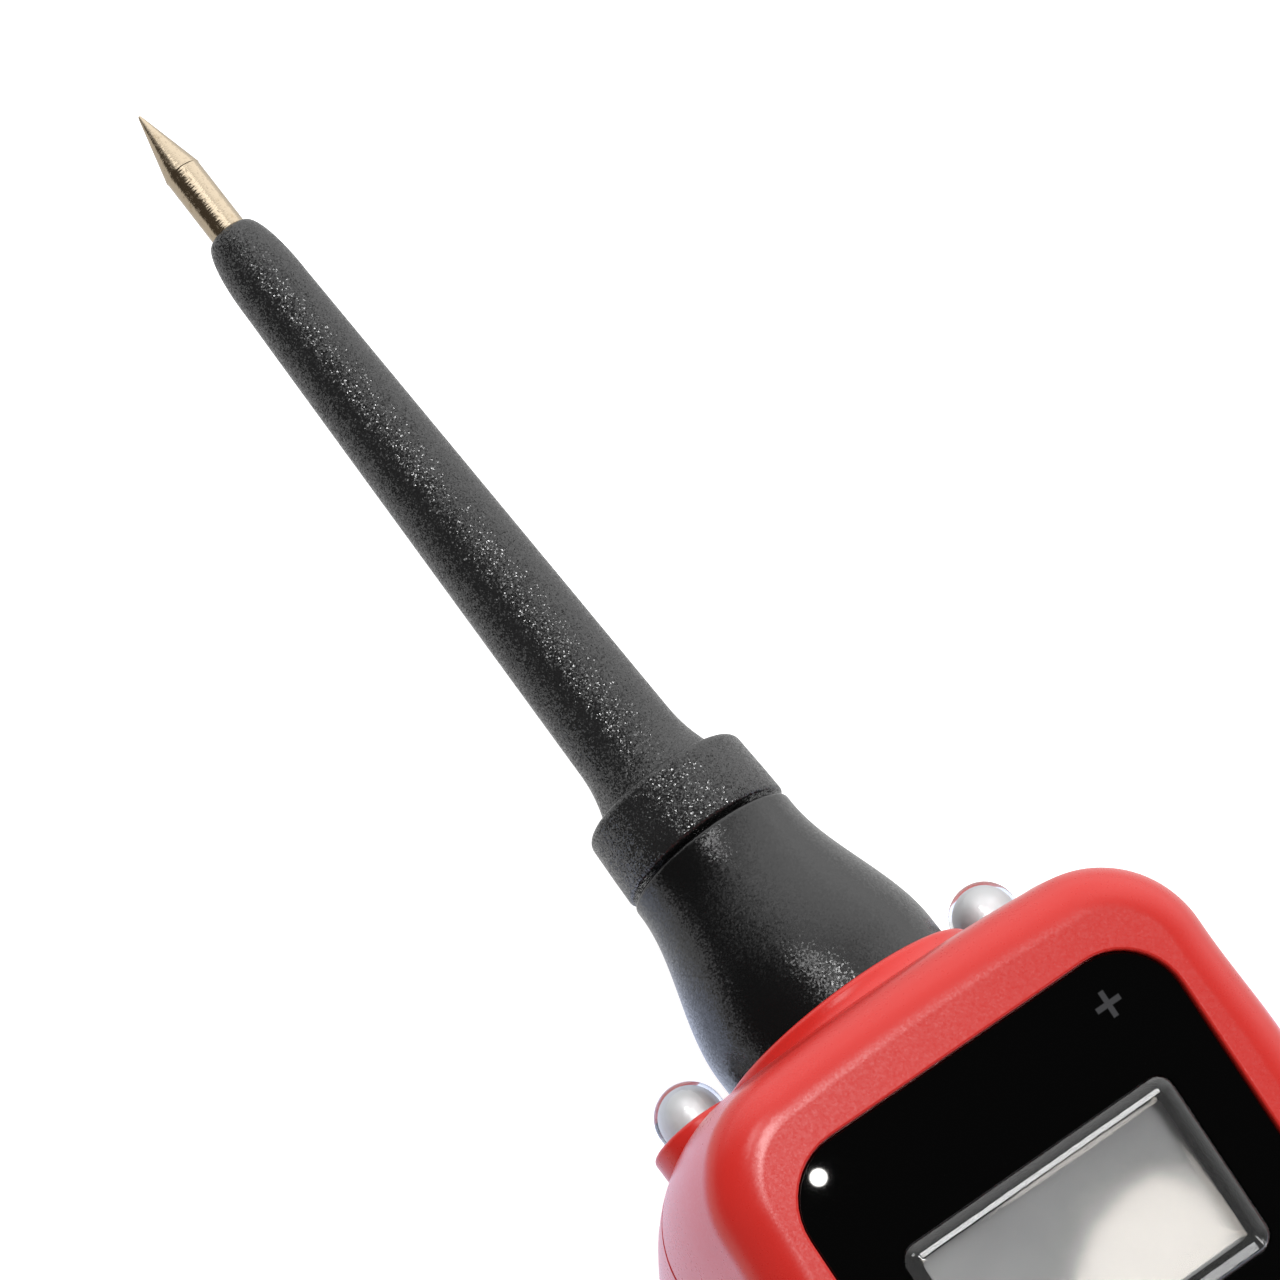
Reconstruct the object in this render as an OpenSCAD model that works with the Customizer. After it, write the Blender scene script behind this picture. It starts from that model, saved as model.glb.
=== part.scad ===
// Handheld powered circuit tester for vehicle wiring.
// A long insulated probe with a pointed metal tip stands on a moulded two-part
// housing. The head carries a sloping display and two headlights, and the grip
// carries a rocker switch. The supply lead enters the tail.
//
// The tester lies on its back with its display up. +X is to the right of the
// display, +Y runs along the probe towards the tip and +Z is up. The origin is
// under the middle of the whole length, on the surface it lies on.
//
// Inside this file sizes are laid out from the probe axis: y = 0 is the plane of
// the headlight domes and z = 0 is the parting plane through the probe axis.

/* [Housing] */
// Length of the housing from its front wall to its tail
housing_len = 124; // [118:1:136]
// Width across the head
head_w = 41.6; // [40:0.2:46]
// Length of the wide head
head_len = 36; // [35:1:40]
// Length over which the head narrows to the grip
neck_len = 26; // [22:1:30]
// Width of the grip at its waist
grip_w = 29; // [28:0.5:33]
// Width of the tail
tail_w = 31; // [29:0.5:34]
// Radius of the head's front corners, seen from above
head_r = 8.6; // [7:0.2:9.6]
// Radius of the tail's corners, seen from above
tail_r = 9; // [7:0.5:10]
// How far the head's front wall bows forward
head_arch = 0.4; // [0.2:0.1:1]
// How much wider the head gets behind its front corners
head_swell = 0.5; // [0:0.1:1]
// Distance from the headlight domes back to the front wall
wall_set = 0.95; // [0.6:0.05:1.5]
// Forward lean of the front wall, as a share of the height
front_lean = 0.14; // [0.05:0.01:0.2]
// Depth of the back shell below the probe axis
back_h = 13.5; // [13:0.5:16]
// Height of the grip above the probe axis
grip_top = 8; // [7.8:0.2:10]
// How far the top drops towards the tail
tail_drop = 1.2; // [0:0.2:1.6]
// Radius round the edge of the display side
top_r = 3.4; // [2.6:0.2:4]
// Radius round the edge of the back
back_r = 5; // [3.5:0.5:6]
// Outward curve of the side walls
side_bulge = 0.5; // [0.2:0.1:0.8]
// Thickness of the side walls and back
wall = 2; // [1.8:0.1:2.4]
// Thickness of the display side
wall_top = 2.4; // [2.3:0.1:2.8]
// Depth of the tongue that joins the shells
lip_h = 1; // [0.8:0.1:1.4]
// Width of the groove along the parting line
parting_groove = 0.25; // [0.1:0.05:0.4]

/* [Display] */
// Slope of the display face down from the nose, in degrees
face_slope = 14.75; // [13:0.25:16]
// Height of the display face over the probe axis at the overlay's front edge
face_h = 16.8; // [16:0.2:18]
// Distance from the headlight domes back to the overlay's front edge
overlay_set = 10; // [9.5:0.1:11]
// Width of the black overlay
overlay_w = 30.7; // [29:0.1:32]
// Length of the black overlay down the slope
overlay_l = 27; // [26:0.5:28]
// Corner radius of the overlay
overlay_r = 4.8; // [3:0.2:6]
// Thickness of the overlay
overlay_t = 0.9; // [0.7:0.1:1]
// Depth of the overlay's top below the housing face
overlay_sink = 0.4; // [0.3:0.05:0.5]
// Width of the display window
window_w = 22.1; // [20:0.1:23]
// Length of the display window
window_l = 13.4; // [12:0.1:14]
// Distance from the overlay's front edge to the window
window_set = 8.7; // [8:0.1:9]
// Corner radius of the window
window_r = 1.2; // [0.8:0.1:2]
// Height of the window above the overlay
window_rise = 0.35; // [0.1:0.05:0.4]
// Width of the window's bevel
window_bevel = 0.6; // [0.3:0.1:0.9]
// Thickness of the liquid crystal cell
lcd_t = 1.8; // [1.4:0.1:2]
// Thickness of the backlight
backlight_t = 1.6; // [1.2:0.1:2]
// Distance of each polarity light from the centre line
indicator_x = 10.4; // [9.5:0.1:10.6]
// Distance of the polarity lights from the overlay's front edge
indicator_set = 3.1; // [2.8:0.1:3.6]
// Diameter of each light pipe
pipe_d = 3; // [2.4:0.1:3.2]

/* [Nose and probe] */
// Length of the nose cone in front of the headlight domes
nose_len = 14.6; // [13:0.2:17]
// Diameter of the nose cone at its front
nose_front_d = 13; // [12:0.2:14]
// Diameter of the nose cone at the housing
nose_base_d = 18.2; // [17:0.2:18.4]
// Diameter of the round boss that holds the nose cone
boss_d = 21; // [20.6:0.2:21.2]
// Distance of the boss's front face behind the headlight domes
boss_set = 0.62; // [0.4:0.02:0.8]
// Thickness of the nose cone's holding flange
flange_t = 1.4; // [1.2:0.1:1.8]
// Gap between the collar and the nose cone
groove_w = 0.35; // [0.2:0.05:0.6]
// Width of the sleeve's collar
collar_w = 5.3; // [4.5:0.1:6]
// Diameter of the collar
collar_d = 13; // [12:0.2:13.6]
// Length of the sleeve from the collar's rear face to its end
sleeve_len = 56.7; // [48:0.5:70]
// Diameter of the sleeve beside the collar
sleeve_root_d = 7.9; // [7.4:0.1:8.4]
// Diameter of the sleeve where its rounded end begins
sleeve_end_d = 5.4; // [5:0.1:5.8]
// Length of the sleeve's rounded end
sleeve_round = 5.65; // [4:0.1:7]
// Diameter of the spigot that plugs into the nose cone
spigot_d = 8.6; // [8:0.1:9]
// Length of the spigot
spigot_len = 6.5; // [5:0.5:8]
// Diameter of the exposed tip
tip_d = 2.75; // [2.6:0.05:3]
// Diameter of the rod inside the sleeve
rod_d = 2.2; // [2:0.05:2.4]
// Length of the tip outside the sleeve
tip_show = 11.35; // [9:0.05:14]
// Length of the tip's point
tip_point = 5.5; // [4.5:0.1:6.5]
// Outside diameter of the socket that holds the rod
socket_d = 4.8; // [4.4:0.1:5]
// Length of the socket
socket_len = 14; // [13:0.5:15]

/* [Headlights] */
// Diameter of each headlight
lamp_d = 5; // [4.8:0.1:5.2]
// Distance of each headlight from the centre line
lamp_x = 12.6; // [12.4:0.1:13]
// Length of the headlight's body behind its dome
lamp_len = 6.1; // [5.5:0.1:6.5]
// Diameter of the rim at the headlight's rear
lamp_rim_d = 5.8; // [5.6:0.1:6]
// Thickness of that rim
lamp_rim_t = 1; // [0.8:0.1:1.2]
// Outside diameter of the pocket round each headlight
pocket_d = 7.6; // [7:0.1:7.8]

/* [Rocker switch] */
// Length of the rocker along the grip
rocker_l = 18; // [16:0.5:20]
// Width of the rocker
rocker_w = 12; // [10:0.5:13]
// Distance from the end of the neck back to the rocker's middle
rocker_set = 10; // [9:0.5:14]
// Depth of the pivot below the grip's top
pivot_depth = 4.6; // [4.4:0.1:4.8]
// Height of the rocker's ends above the pivot
rocker_rise = 7; // [6.4:0.1:7.4]
// Depth of the saddle in the rocker's top
saddle_depth = 1.3; // [0.8:0.1:1.8]
// Depth of the rocker below its pivot
rocker_under = 1.8; // [1.6:0.1:1.9]
// Diameter of the pivot pin
pivot_d = 2; // [1.6:0.1:2.2]
// Turn of the rocker each way, in degrees
rocker_turn = 6; // [4:0.5:6]

/* [Circuit board] */
// Depth of the board's top below the probe axis
board_drop = 1.6; // [1.4:0.1:1.8]
// Thickness of the board
board_t = 1.6; // [1.2:0.1:1.6]
// Gap between the board's edge and the walls
board_gap = 0.9; // [0.6:0.1:1.2]
// Diameter of the buzzer
buzzer_d = 12; // [10:0.5:13]
// Distance from the end of the neck forward to the buzzer's middle
buzzer_set = 12; // [11:0.5:13]
// Distance from the end of the neck forward to the chip's middle
chip_set = 14; // [12:0.5:15]
// Distance from the end of the neck forward to the front board post
post_set = 22.5; // [21.5:0.5:23]
// Length of the board screws under the head
board_screw_len = 5; // [4:0.5:6]
// Diameter of each board screw's head
board_head_d = 3.8; // [3.4:0.1:4]

/* [Fasteners and cable inlet] */
// Diameter of the housing screws
screw_d = 2.5; // [2.2:0.1:2.6]
// Diameter of the screw heads
screw_head_d = 4.6; // [4.2:0.1:4.8]
// Length of the screws under the head
screw_len = 11.5; // [10:0.5:12.5]
// Depth of the screw seats below the parting plane
screw_seat = 6.5; // [6:0.5:7.5]
// Distance from the tail forward to the rear screws
rear_screw_set = 11; // [10.5:0.5:14]
// Outside diameter of the screw tubes
tube_d = 6.8; // [6.4:0.1:7]
// Diameter of the cable inlet's bore
inlet_d = 5.8; // [5:0.1:6.2]
// Diameter of the inlet's neck in the tail wall
inlet_neck_d = 9; // [8.4:0.1:9.2]
// Diameter of the inlet's flanges
inlet_flange_d = 10.8; // [10.4:0.1:11]
// Thickness of the inlet's flanges
inlet_flange_t = 1.6; // [1.2:0.1:2]
// Depth of the inlet's axis below the probe axis
inlet_drop = 2.5; // [2.2:0.1:3]

/* [Clearances] */
// Gap between seated pieces
fit = 0.1; // [0.08:0.01:0.15]
// Gap all round a pin or rod in its hole
run = 0.05; // [0.03:0.01:0.08]
// Gap round the moving rocker
rocker_gap = 0.3; // [0.25:0.05:0.4]

/* [Hidden] */
$fn = 64;

// Steps along each stretch of the outline and round each edge
arch_steps = 4;
corner_steps = 8;
side_steps = 18;
tail_steps = 6;
edge_steps = 5;
bulge_steps = 3;

// Main places along the probe axis
front_y = -wall_set;
tail_y = front_y - housing_len;
corner_x = head_w / 2 - head_swell - head_r;
corner_y = front_y - head_arch - head_r;
tail_corner_y = tail_y + tail_r;
head_end_y = front_y - head_len;
neck_end_y = head_end_y - neck_len;
swell_len = 10;
lean_end_y = head_end_y - 8;
lean_h = 1.1 * face_h;
rocker_y = neck_end_y - rocker_set;
drop_y = rocker_y - rocker_l / 2 - 4;
collar_y = nose_len + groove_w;
sleeve_end_y = collar_y + sleeve_len;
tip_y = sleeve_end_y + tip_show;
rear_y = tail_y - inlet_flange_t;
mid_y = (tip_y + rear_y) / 2;

// Blend between the display slope and the grip
slope_blend = 0.8;
face_rise = tan(face_slope);

// The joint between the shells
lip_q = wall / 2;
inner_r = 2.2;

// Circuit board and the parts on it
board_top = -board_drop;
board_base = board_top - board_t;
board_front_y = -lamp_len - 2.9;
terminal_size = [10, 7, 6];
breaker_size = [10, 16, 6.5];
chip_size = [7.5, 10, 1.4];
board_head_h = 1.3;
board_post_d = 4.6;
board_screw_d = 1.8;
rocker_half = rocker_l / 2 + 1;
rocker_opening = sqrt(pow(rocker_half, 2) - pow(pivot_depth - wall_top, 2)) + rocker_gap;
frame_wall = 1.5;
frame_half_l = rocker_half + rocker_gap + frame_wall;
frame_half_w = rocker_w / 2 + rocker_gap + frame_wall;
board_post_ys = [neck_end_y + post_set, rocker_y - frame_half_l - board_head_d / 2 - fit];
terminal_y = board_post_ys[1] - board_head_d / 2 - terminal_size[1] / 2 - 0.5;
board_tail_y = terminal_y - terminal_size[1] / 2 - 1.5;
chip_y = neck_end_y + chip_set;
buzzer_y = neck_end_y + buzzer_set;
buzzer_h = back_h - wall - board_drop - board_t - 0.3;
breaker_y = rocker_y - 1;

// Nose flange: its seat in the boss and its rear face
flange_d = boss_d - 0.4;
flange_flat = nose_base_d / 2 + fit;
seat_y = -flange_t - 1.9;
flange_y = seat_y - fit - flange_t;

// Screws in the housing: x, y of each
screw_places = [
    [head_w / 2 - 8.6, head_end_y - 1.5], [-head_w / 2 + 8.6, head_end_y - 1.5],
    [tail_w / 2 - 8.6, tail_y + rear_screw_set], [-tail_w / 2 + 8.6, tail_y + rear_screw_set]
];
screw_head_h = 2;
front_boss_d = screw_d + 3;
pilot_h = screw_len - screw_seat + 0.6;

// Rocker
pivot_z = grip_top - pivot_depth;

// Display stack, measured along the face's normal
overlay_top = -overlay_sink;
overlay_base = overlay_top - overlay_t;
lcd_margin = 1.9;
lcd_w = window_w + 2 * lcd_margin;
lcd_l = window_l + 2 * lcd_margin;
lcd_top = -wall_top - 0.15;
backlight_top = lcd_top - lcd_t - fit;
frame_base = backlight_top - backlight_t - 0.9;
lcd_rim = 1.1;
window_mid = window_set + window_l / 2;

function clamp01(t) = max(0, min(1, t));
function smooth(t) = let (u = clamp01(t)) u * u * (3 - 2 * u);
function mix(a, b, t) = a + (b - a) * t;
function unit(v) = v / norm(v);

// Half the housing's width at a distance along the side
function half_width(y) =
    y > head_end_y
        ? head_w / 2 - head_swell * (1 - smooth((corner_y - y) / swell_len))
    : y > neck_end_y
        ? mix(head_w / 2, grip_w / 2, smooth((head_end_y - y) / neck_len))
    : mix(grip_w / 2, tail_w / 2,
          smooth((neck_end_y - y) / (neck_end_y - tail_corner_y)));

// The housing seen from above, right half, from the nose to the tail
half_outline = concat(
    [for (i = [0 : arch_steps - 1])
        let (u = i / arch_steps)
        [u * corner_x, front_y - head_arch * u * u]],
    [for (i = [0 : corner_steps])
        let (a = 90 - 90 * i / corner_steps)
        [corner_x + head_r * cos(a), corner_y + head_r * sin(a)]],
    [for (i = [1 : side_steps - 1])
        let (y = mix(corner_y, tail_corner_y, i / side_steps))
        [half_width(y), y]],
    [for (i = [0 : tail_steps])
        let (a = -90 * i / tail_steps)
        [tail_w / 2 - tail_r + tail_r * cos(a), tail_corner_y + tail_r * sin(a)]],
    [[0, tail_y]]
);
half_n = len(half_outline);
outline = concat(
    half_outline,
    [for (i = [half_n - 2 : -1 : 1]) [-half_outline[i][0], half_outline[i][1]]]
);
n = len(outline);
inward = [
    for (i = [0 : n - 1])
        let (t = outline[(i + 1) % n] - outline[(i + n - 1) % n])
        unit([t[1], -t[0]])
];

// Share of the front wall's lean that reaches back to y
function lean_at(y) =
    front_lean * smooth((y - lean_end_y) / (corner_y - lean_end_y));

// Height of the display side: a sloping plane that runs smoothly into the grip. The
// front wall curves back under it, by the square of the height.
function face_z(y) = face_h + face_rise * (y + overlay_set);
function top_z(y) =
    let (plane = 2 * face_z(y) / (1 + sqrt(1 + 4 * face_z(y) * face_rise * lean_at(y) / lean_h)))
    grip_top + slope_blend * ln(1 + exp((plane - grip_top) / slope_blend))
        - tail_drop * smooth((drop_y - y) / (drop_y - tail_y));

// One closed ring round the housing: [inset, share of the top's height, offset]
function ring(level) = [
    for (i = [0 : n - 1])
        let (
            p = outline[i] + level[0] * inward[i],
            z = level[1] * top_z(p[1]) + level[2]
        )
        [p[0], p[1] - lean_at(p[1]) * pow(max(z, 0), 2) / lean_h, z]
];

// Rings round the edge of the display side, from the flat outwards
function edge_levels(inset, r) = [
    for (i = [edge_steps : -1 : 0])
        let (a = 90 * i / edge_steps)
        [inset + r * (1 - cos(a)), 1, -r * (1 - sin(a))]
];

// A skin through rings of equal length, closed by strips across both end rings
module skin(levels) {
    rings = [for (l = levels) ring(l)];
    points = [for (r = rings) each r];
    last = (len(levels) - 1) * n;
    sides = [
        for (k = [0 : len(levels) - 2], i = [0 : n - 1])
            let (a = k * n + i, b = k * n + (i + 1) % n)
            each [[a, a + n, b + n], [a, b + n, b]]
    ];
    caps = [
        for (i = [0 : half_n - 2])
            let (r0 = i, r1 = i + 1, l0 = (n - i) % n, l1 = n - i - 1)
            each concat(
                r0 == l0 ? [] : [[r0, l1, l0]],
                r1 == l1 ? [] : [[r0, r1, l1]],
                r0 == l0 ? [] : [[last + r0, last + l0, last + l1]],
                r1 == l1 ? [] : [[last + r0, last + l1, last + r1]]
            )
    ];
    polyhedron(points = points, faces = concat(sides, caps));
}

front_levels = concat(
    edge_levels(side_bulge, top_r),
    [for (i = [bulge_steps - 1 : -1 : 1])
        let (f = i / bulge_steps)
        [side_bulge * f * f, f, -f * top_r + parting_groove * (1 - f)]],
    [[0, 0, parting_groove], [parting_groove, 0, 0]],
    [[lip_q, 0, 0], [lip_q, 0, -lip_h], [wall, 0, -lip_h]],
    [[wall + side_bulge, 1, -wall_top - inner_r]],
    [for (i = [1 : 3])
        let (a = 30 * i)
        [wall + side_bulge + inner_r * (1 - cos(a)), 1, -wall_top - inner_r * (1 - sin(a))]]
);

back_levels = concat(
    [for (i = [3 : -1 : 0])
        let (a = 30 * i)
        [wall + side_bulge + inner_r * (1 - cos(a)), 0, -back_h + wall + inner_r * (1 - sin(a))]],
    [[wall, 0, -lip_h - fit], [lip_q - fit, 0, -lip_h - fit], [lip_q - fit, 0, 0]],
    [[parting_groove, 0, 0], [0, 0, -parting_groove]],
    [for (i = [1 : bulge_steps - 1])
        let (f = i / bulge_steps)
        [side_bulge * f * f, 0, -f * (back_h - back_r) - parting_groove * (1 - f)]],
    [for (i = [0 : edge_steps])
        let (a = 90 * i / edge_steps)
        [side_bulge + back_r * (1 - cos(a)), 0, -back_h + back_r * (1 - sin(a))]]
);

// Moves the finished layout to the frame described at the top
module place() {
    translate([0, -mid_y, back_h])
        children();
}

// The display face: x right, y towards the nose, z out of the face
module on_face() {
    translate([0, -overlay_set, face_h])
        rotate([face_slope, 0, 0])
            children();
}

// Turns a profile drawn as [radius, y] round the probe axis
module turned(profile) {
    rotate([-90, 0, 0])
        rotate_extrude()
            polygon(profile);
}

// A cylinder along y
module bar(d, y0, y1) {
    translate([0, y0, 0])
        rotate([-90, 0, 0])
            cylinder(d = d, h = y1 - y0);
}

// A slab with round corners, from z0 to z1
module round_slab(w, l, r, z0, z1) {
    translate([0, 0, z0])
        linear_extrude(height = z1 - z0) {
            square([w - 2 * r, l], center = true);
            square([w, l - 2 * r], center = true);
            for (x = [-1, 1], y = [-1, 1])
                translate([x * (w / 2 - r), y * (l / 2 - r)])
                    circle(r = r);
        }
}

// The same slab as a single hull, for the freeform shells
module hull_slab(w, l, r, z0, z1) {
    hull()
        for (x = [-1, 1], y = [-1, 1])
            translate([x * (w / 2 - r), y * (l / 2 - r), z0])
                cylinder(r = r, h = z1 - z0, $fn = 32);
}

module half_space(side) {
    translate([0, 0, side * 50])
        cube([200, 400, 100], center = true);
}

// What both shells have round the nose and the headlights: a boss with a groove
// for the nose cone's flange, and a round pocket for each headlight
module nose_and_pockets(side) {
    edge = 0.5;
    collar_r = boss_d / 2 + 1.6;
    rib_y = flange_y - 2 * fit - 1.2;
    intersection() {
        union() {
            turned([
                [0, rib_y], [collar_r, rib_y], [collar_r, seat_y], [boss_d / 2, seat_y],
                for (a = [0 : 22.5 : 90])
                    [boss_d / 2 - edge * (1 - cos(a)), -boss_set - edge * (1 - sin(a))],
                [0, -boss_set]
            ]);
            for (x = [-1, 1])
                translate([x * lamp_x, 0, 0])
                    bar(pocket_d, -lamp_len + 0.4, -0.9);
        }
        half_space(side);
    }
}

module nose_and_lamp_holes() {
    bar(nose_base_d + 3 * fit, seat_y - 0.2, 5);
    intersection() {
        bar(flange_d + 2 * fit, flange_y - fit, seat_y);
        flats(flange_flat + fit);
    }
    bar(nose_base_d - 1.6, flange_y - 3, flange_y);
    for (x = [-1, 1])
        translate([x * lamp_x, 0, 0]) {
            bar(lamp_d + 2 * fit, -lamp_len - 1, 5);
            bar(lamp_rim_d + 2 * fit, -lamp_len - 2 * lamp_rim_t, -lamp_len + fit);
        }
}

// Space between two flats beside the probe axis, which keep the nose from turning
module flats(half) {
    cube([2 * half, 4 * boss_d, 2 * boss_d], center = true);
}

module inlet_hole() {
    translate([0, 0, -inlet_drop])
        bar(inlet_neck_d + 2 * fit, tail_y - 1, tail_y + wall + 3);
}

// A thin blade from a screw boss towards the middle of the housing
module gusset(p, r, z0, z1, foot) {
    reach = 2.2;
    side = sign(p[0]);
    hull() {
        translate([p[0] - side * r * 0.5 - 0.5, p[1] - 0.5, z0])
            cube([1, 1, z1 - z0]);
        translate([p[0] - side * (r + reach) - 0.4, p[1] - 0.5, foot])
            cube([0.8, 1, 0.8]);
    }
}

// Front shell: the display side of the housing
module front_shell() {
    boss_tops = [for (p = screw_places) top_z(p[1]) - wall_top + 0.9];
    rim_rise = 0.7;
    place() color("firebrick") difference() {
        union() {
            difference() {
                skin(front_levels);
                // The tongue stops where the back shell's boss and pockets rise
                translate([0, front_y - 4, -lip_h])
                    cube([2 * lamp_x + pocket_d + 1, 12, 2 * lip_h], center = true);
            }
            nose_and_pockets(1);
            for (i = [0 : len(screw_places) - 1]) {
                translate(screw_places[i])
                    cylinder(d = front_boss_d, h = boss_tops[i], $fn = 32);
                gusset(screw_places[i], front_boss_d / 2, 1.5, boss_tops[i] - 0.2,
                       boss_tops[i] - 1);
            }
            translate([0, rocker_y, 0])
                hull_slab(rocker_w + 5, 2 * rocker_half + 5, 3.5,
                          grip_top - wall_top / 2, grip_top + rim_rise);
        }
        nose_and_lamp_holes();
        inlet_hole();
        on_face() {
            translate([0, -overlay_l / 2, 0]) {
                hull_slab(overlay_w + 2 * fit, overlay_l + 2 * fit, overlay_r + fit,
                          overlay_base - fit, 4);
            }
            translate([0, -window_mid, 0])
                hull_slab(window_w + 1, window_l + 1, window_r + 0.5, -wall_top - 3, 0);
            for (x = [-1, 1])
                translate([x * indicator_x, -indicator_set, -wall_top - 3])
                    cylinder(d = pipe_d + 2 * fit, h = wall_top + 3, $fn = 32);
        }
        translate([0, rocker_y, 0])
            hull_slab(rocker_w + 2 * rocker_gap, 2 * rocker_opening, 2 * rocker_gap,
                      grip_top - wall_top - 3, grip_top + 4);
        for (p = screw_places)
            translate([p[0], p[1], -1])
                cylinder(d = screw_d + 2 * run, h = pilot_h + 1, $fn = 32);
    }
}

// Back shell: the side the tester lies on
module back_shell() {
    slot_n = 5;
    slot_pitch = 2.2;
    slot_l = 7;
    floor_z = -back_h + wall;
    place() color("firebrick") difference() {
        union() {
            skin(back_levels);
            nose_and_pockets(-1);
            for (p = screw_places) {
                translate([p[0], p[1], floor_z - 0.5])
                    cylinder(d = tube_d, h = -floor_z + 0.5, $fn = 40);
                gusset(p, tube_d / 2, floor_z - 0.5, board_base - 1, floor_z - 0.5);
            }
            for (y = board_post_ys) {
                translate([0, y, floor_z - 0.5])
                    cylinder(d = board_post_d, h = board_base - floor_z + 0.5, $fn = 32);
                for (x = [-1, 1])
                    gusset([x * 0.4, y], board_post_d / 2, floor_z - 0.5, board_base - 1.5,
                           floor_z - 0.5);
            }
        }
        nose_and_lamp_holes();
        inlet_hole();
        for (p = screw_places)
            translate([p[0], p[1], 0]) {
                translate([0, 0, -screw_seat - 1])
                    cylinder(d = screw_d + 2 * fit, h = screw_seat + 2, $fn = 32);
                translate([0, 0, -back_h - 1])
                    cylinder(d = screw_head_d + 4 * fit, h = back_h - screw_seat + 1, $fn = 36);
            }
        for (y = board_post_ys)
            translate([0, y, floor_z])
                cylinder(d = board_screw_d + 2 * run, h = back_h, $fn = 24);
        // Sound slots under the buzzer
        for (i = [0 : slot_n - 1])
            hull()
                for (x = [-1, 1])
                    translate([x * slot_l / 2, buzzer_y + (i - (slot_n - 1) / 2) * slot_pitch, -back_h - 1])
                        cylinder(d = 1, h = wall + 2, $fn = 16);
    }
}

// Black overlay round the display window
module face_overlay() {
    place() color("black") on_face() difference() {
        translate([0, -overlay_l / 2, 0])
            round_slab(overlay_w, overlay_l, overlay_r, overlay_base, overlay_top);
        translate([0, -window_mid, 0])
            round_slab(window_w + 2 * fit, window_l + 2 * fit, window_r + fit,
                       overlay_base - 1, overlay_top + 1);
    }
}

// Clear window that stands a little above the overlay
module display_window() {
    top = overlay_top + window_rise;
    place() color("lightcyan") on_face()
        translate([0, -window_mid, 0])
            hull() {
                round_slab(window_w, window_l, window_r, overlay_base, top - window_bevel / 2);
                round_slab(window_w - 2 * window_bevel, window_l - 2 * window_bevel,
                           window_r / 2, overlay_base, top);
            }
}

// Liquid crystal cell behind the window
module lcd_panel() {
    place() color("darkseagreen") on_face()
        translate([0, -window_mid, 0])
            round_slab(lcd_w, lcd_l, 0.4, lcd_top - lcd_t, lcd_top);
}

// Backlight under the liquid crystal cell
module lcd_backlight() {
    place() color("white") on_face()
        translate([0, -window_mid, 0])
            round_slab(lcd_w - 1, lcd_l - 1, 0.4, backlight_top - backlight_t, backlight_top);
}

// Frame that carries the display on four legs over the circuit board
module lcd_frame() {
    leg = 2;
    frame_w = lcd_w + 2 * fit + 2 * lcd_rim;
    frame_l = lcd_l + 2 * fit + 2 * lcd_rim;
    leg_x = frame_w / 2 - leg / 2 - 2.4;
    leg_s = frame_l / 2 - leg / 2 - 0.4;
    flex_w = 12;
    place() color("gainsboro") difference() {
        union() {
            on_face()
                translate([0, -window_mid, 0])
                    difference() {
                        round_slab(frame_w, frame_l, 1, frame_base, lcd_top);
                        round_slab(lcd_w + 2 * fit, lcd_l + 2 * fit, 0.5,
                                   backlight_top - backlight_t - fit, lcd_top + 1);
                        round_slab(lcd_w - 5, lcd_l - 5, 1, frame_base - 1, lcd_top);
                        translate([0, -frame_l / 2, lcd_top - lcd_t / 2])
                            cube([flex_w + 1, 4, lcd_t + 2 * fit], center = true);
                    }
            for (x = [-1, 1], s = [-1, 1])
                let (p = face_point(window_mid + s * leg_s, frame_base + 0.4))
                translate([x * leg_x - leg / 2, p[0] - leg / 2, board_top])
                    cube([leg, leg, p[1] - board_top]);
        }
    }
}
// [y, z] of a point on the face: distance down the slope and height off it
function face_point(s, h) = [
    -overlay_set - s * cos(face_slope) - h * sin(face_slope),
    face_h - s * sin(face_slope) + h * cos(face_slope)
];

// Flexible strip from the display down to the board
module lcd_flex() {
    flex_w = 12;
    flex_t = 0.2;
    steps = 10;
    a = face_point(window_mid + lcd_l / 2 + fit, lcd_top - lcd_t / 2);
    pull = face_point(window_mid + lcd_l / 2 + 4, lcd_top - lcd_t / 2);
    b = [pull[0] - 1.5, board_top + flex_t];
    knee = [pull[0] + 0.5, board_top + 3];
    path = [for (i = [0 : steps]) bezier(a, pull, knee, b, i / steps)];
    back = [for (i = [steps : -1 : 0]) path[i] + flex_t * path_normal(path, i)];
    place() color("darkorange")
        translate([-flex_w / 2, 0, 0])
            rotate([90, 0, 90])
                linear_extrude(height = flex_w)
                    polygon(concat(path, back));
}
function bezier(a, b, c, d, t) =
    pow(1 - t, 3) * a + 3 * t * pow(1 - t, 2) * b + 3 * t * t * (1 - t) * c + t * t * t * d;
function path_normal(path, i) =
    let (t = unit(path[min(i + 1, len(path) - 1)] - path[max(i - 1, 0)]))
    i == len(path) - 1 ? [-1, 0] : [t[1], -t[0]];

// Circuit board, cut to the inside of the housing
module circuit_board() {
    inset = wall + board_gap;
    notch = socket_d + 1.2;
    place() color("darkgreen") translate([0, 0, board_base])
        difference() {
            linear_extrude(height = board_t)
                difference() {
                    intersection() {
                        polygon([for (i = [0 : n - 1]) outline[i] + inset * inward[i]]);
                        translate([-head_w / 2, board_tail_y])
                            square([head_w, board_front_y - board_tail_y]);
                    }
                    translate([-notch / 2, socket_rear_y - 0.5])
                        square([notch, 20]);
                    for (p = screw_places)
                        translate(p)
                            circle(d = tube_d + 1);
                    for (y = board_post_ys)
                        translate([0, y])
                            circle(d = board_screw_d + 4 * fit);
                }
        }
}

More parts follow.
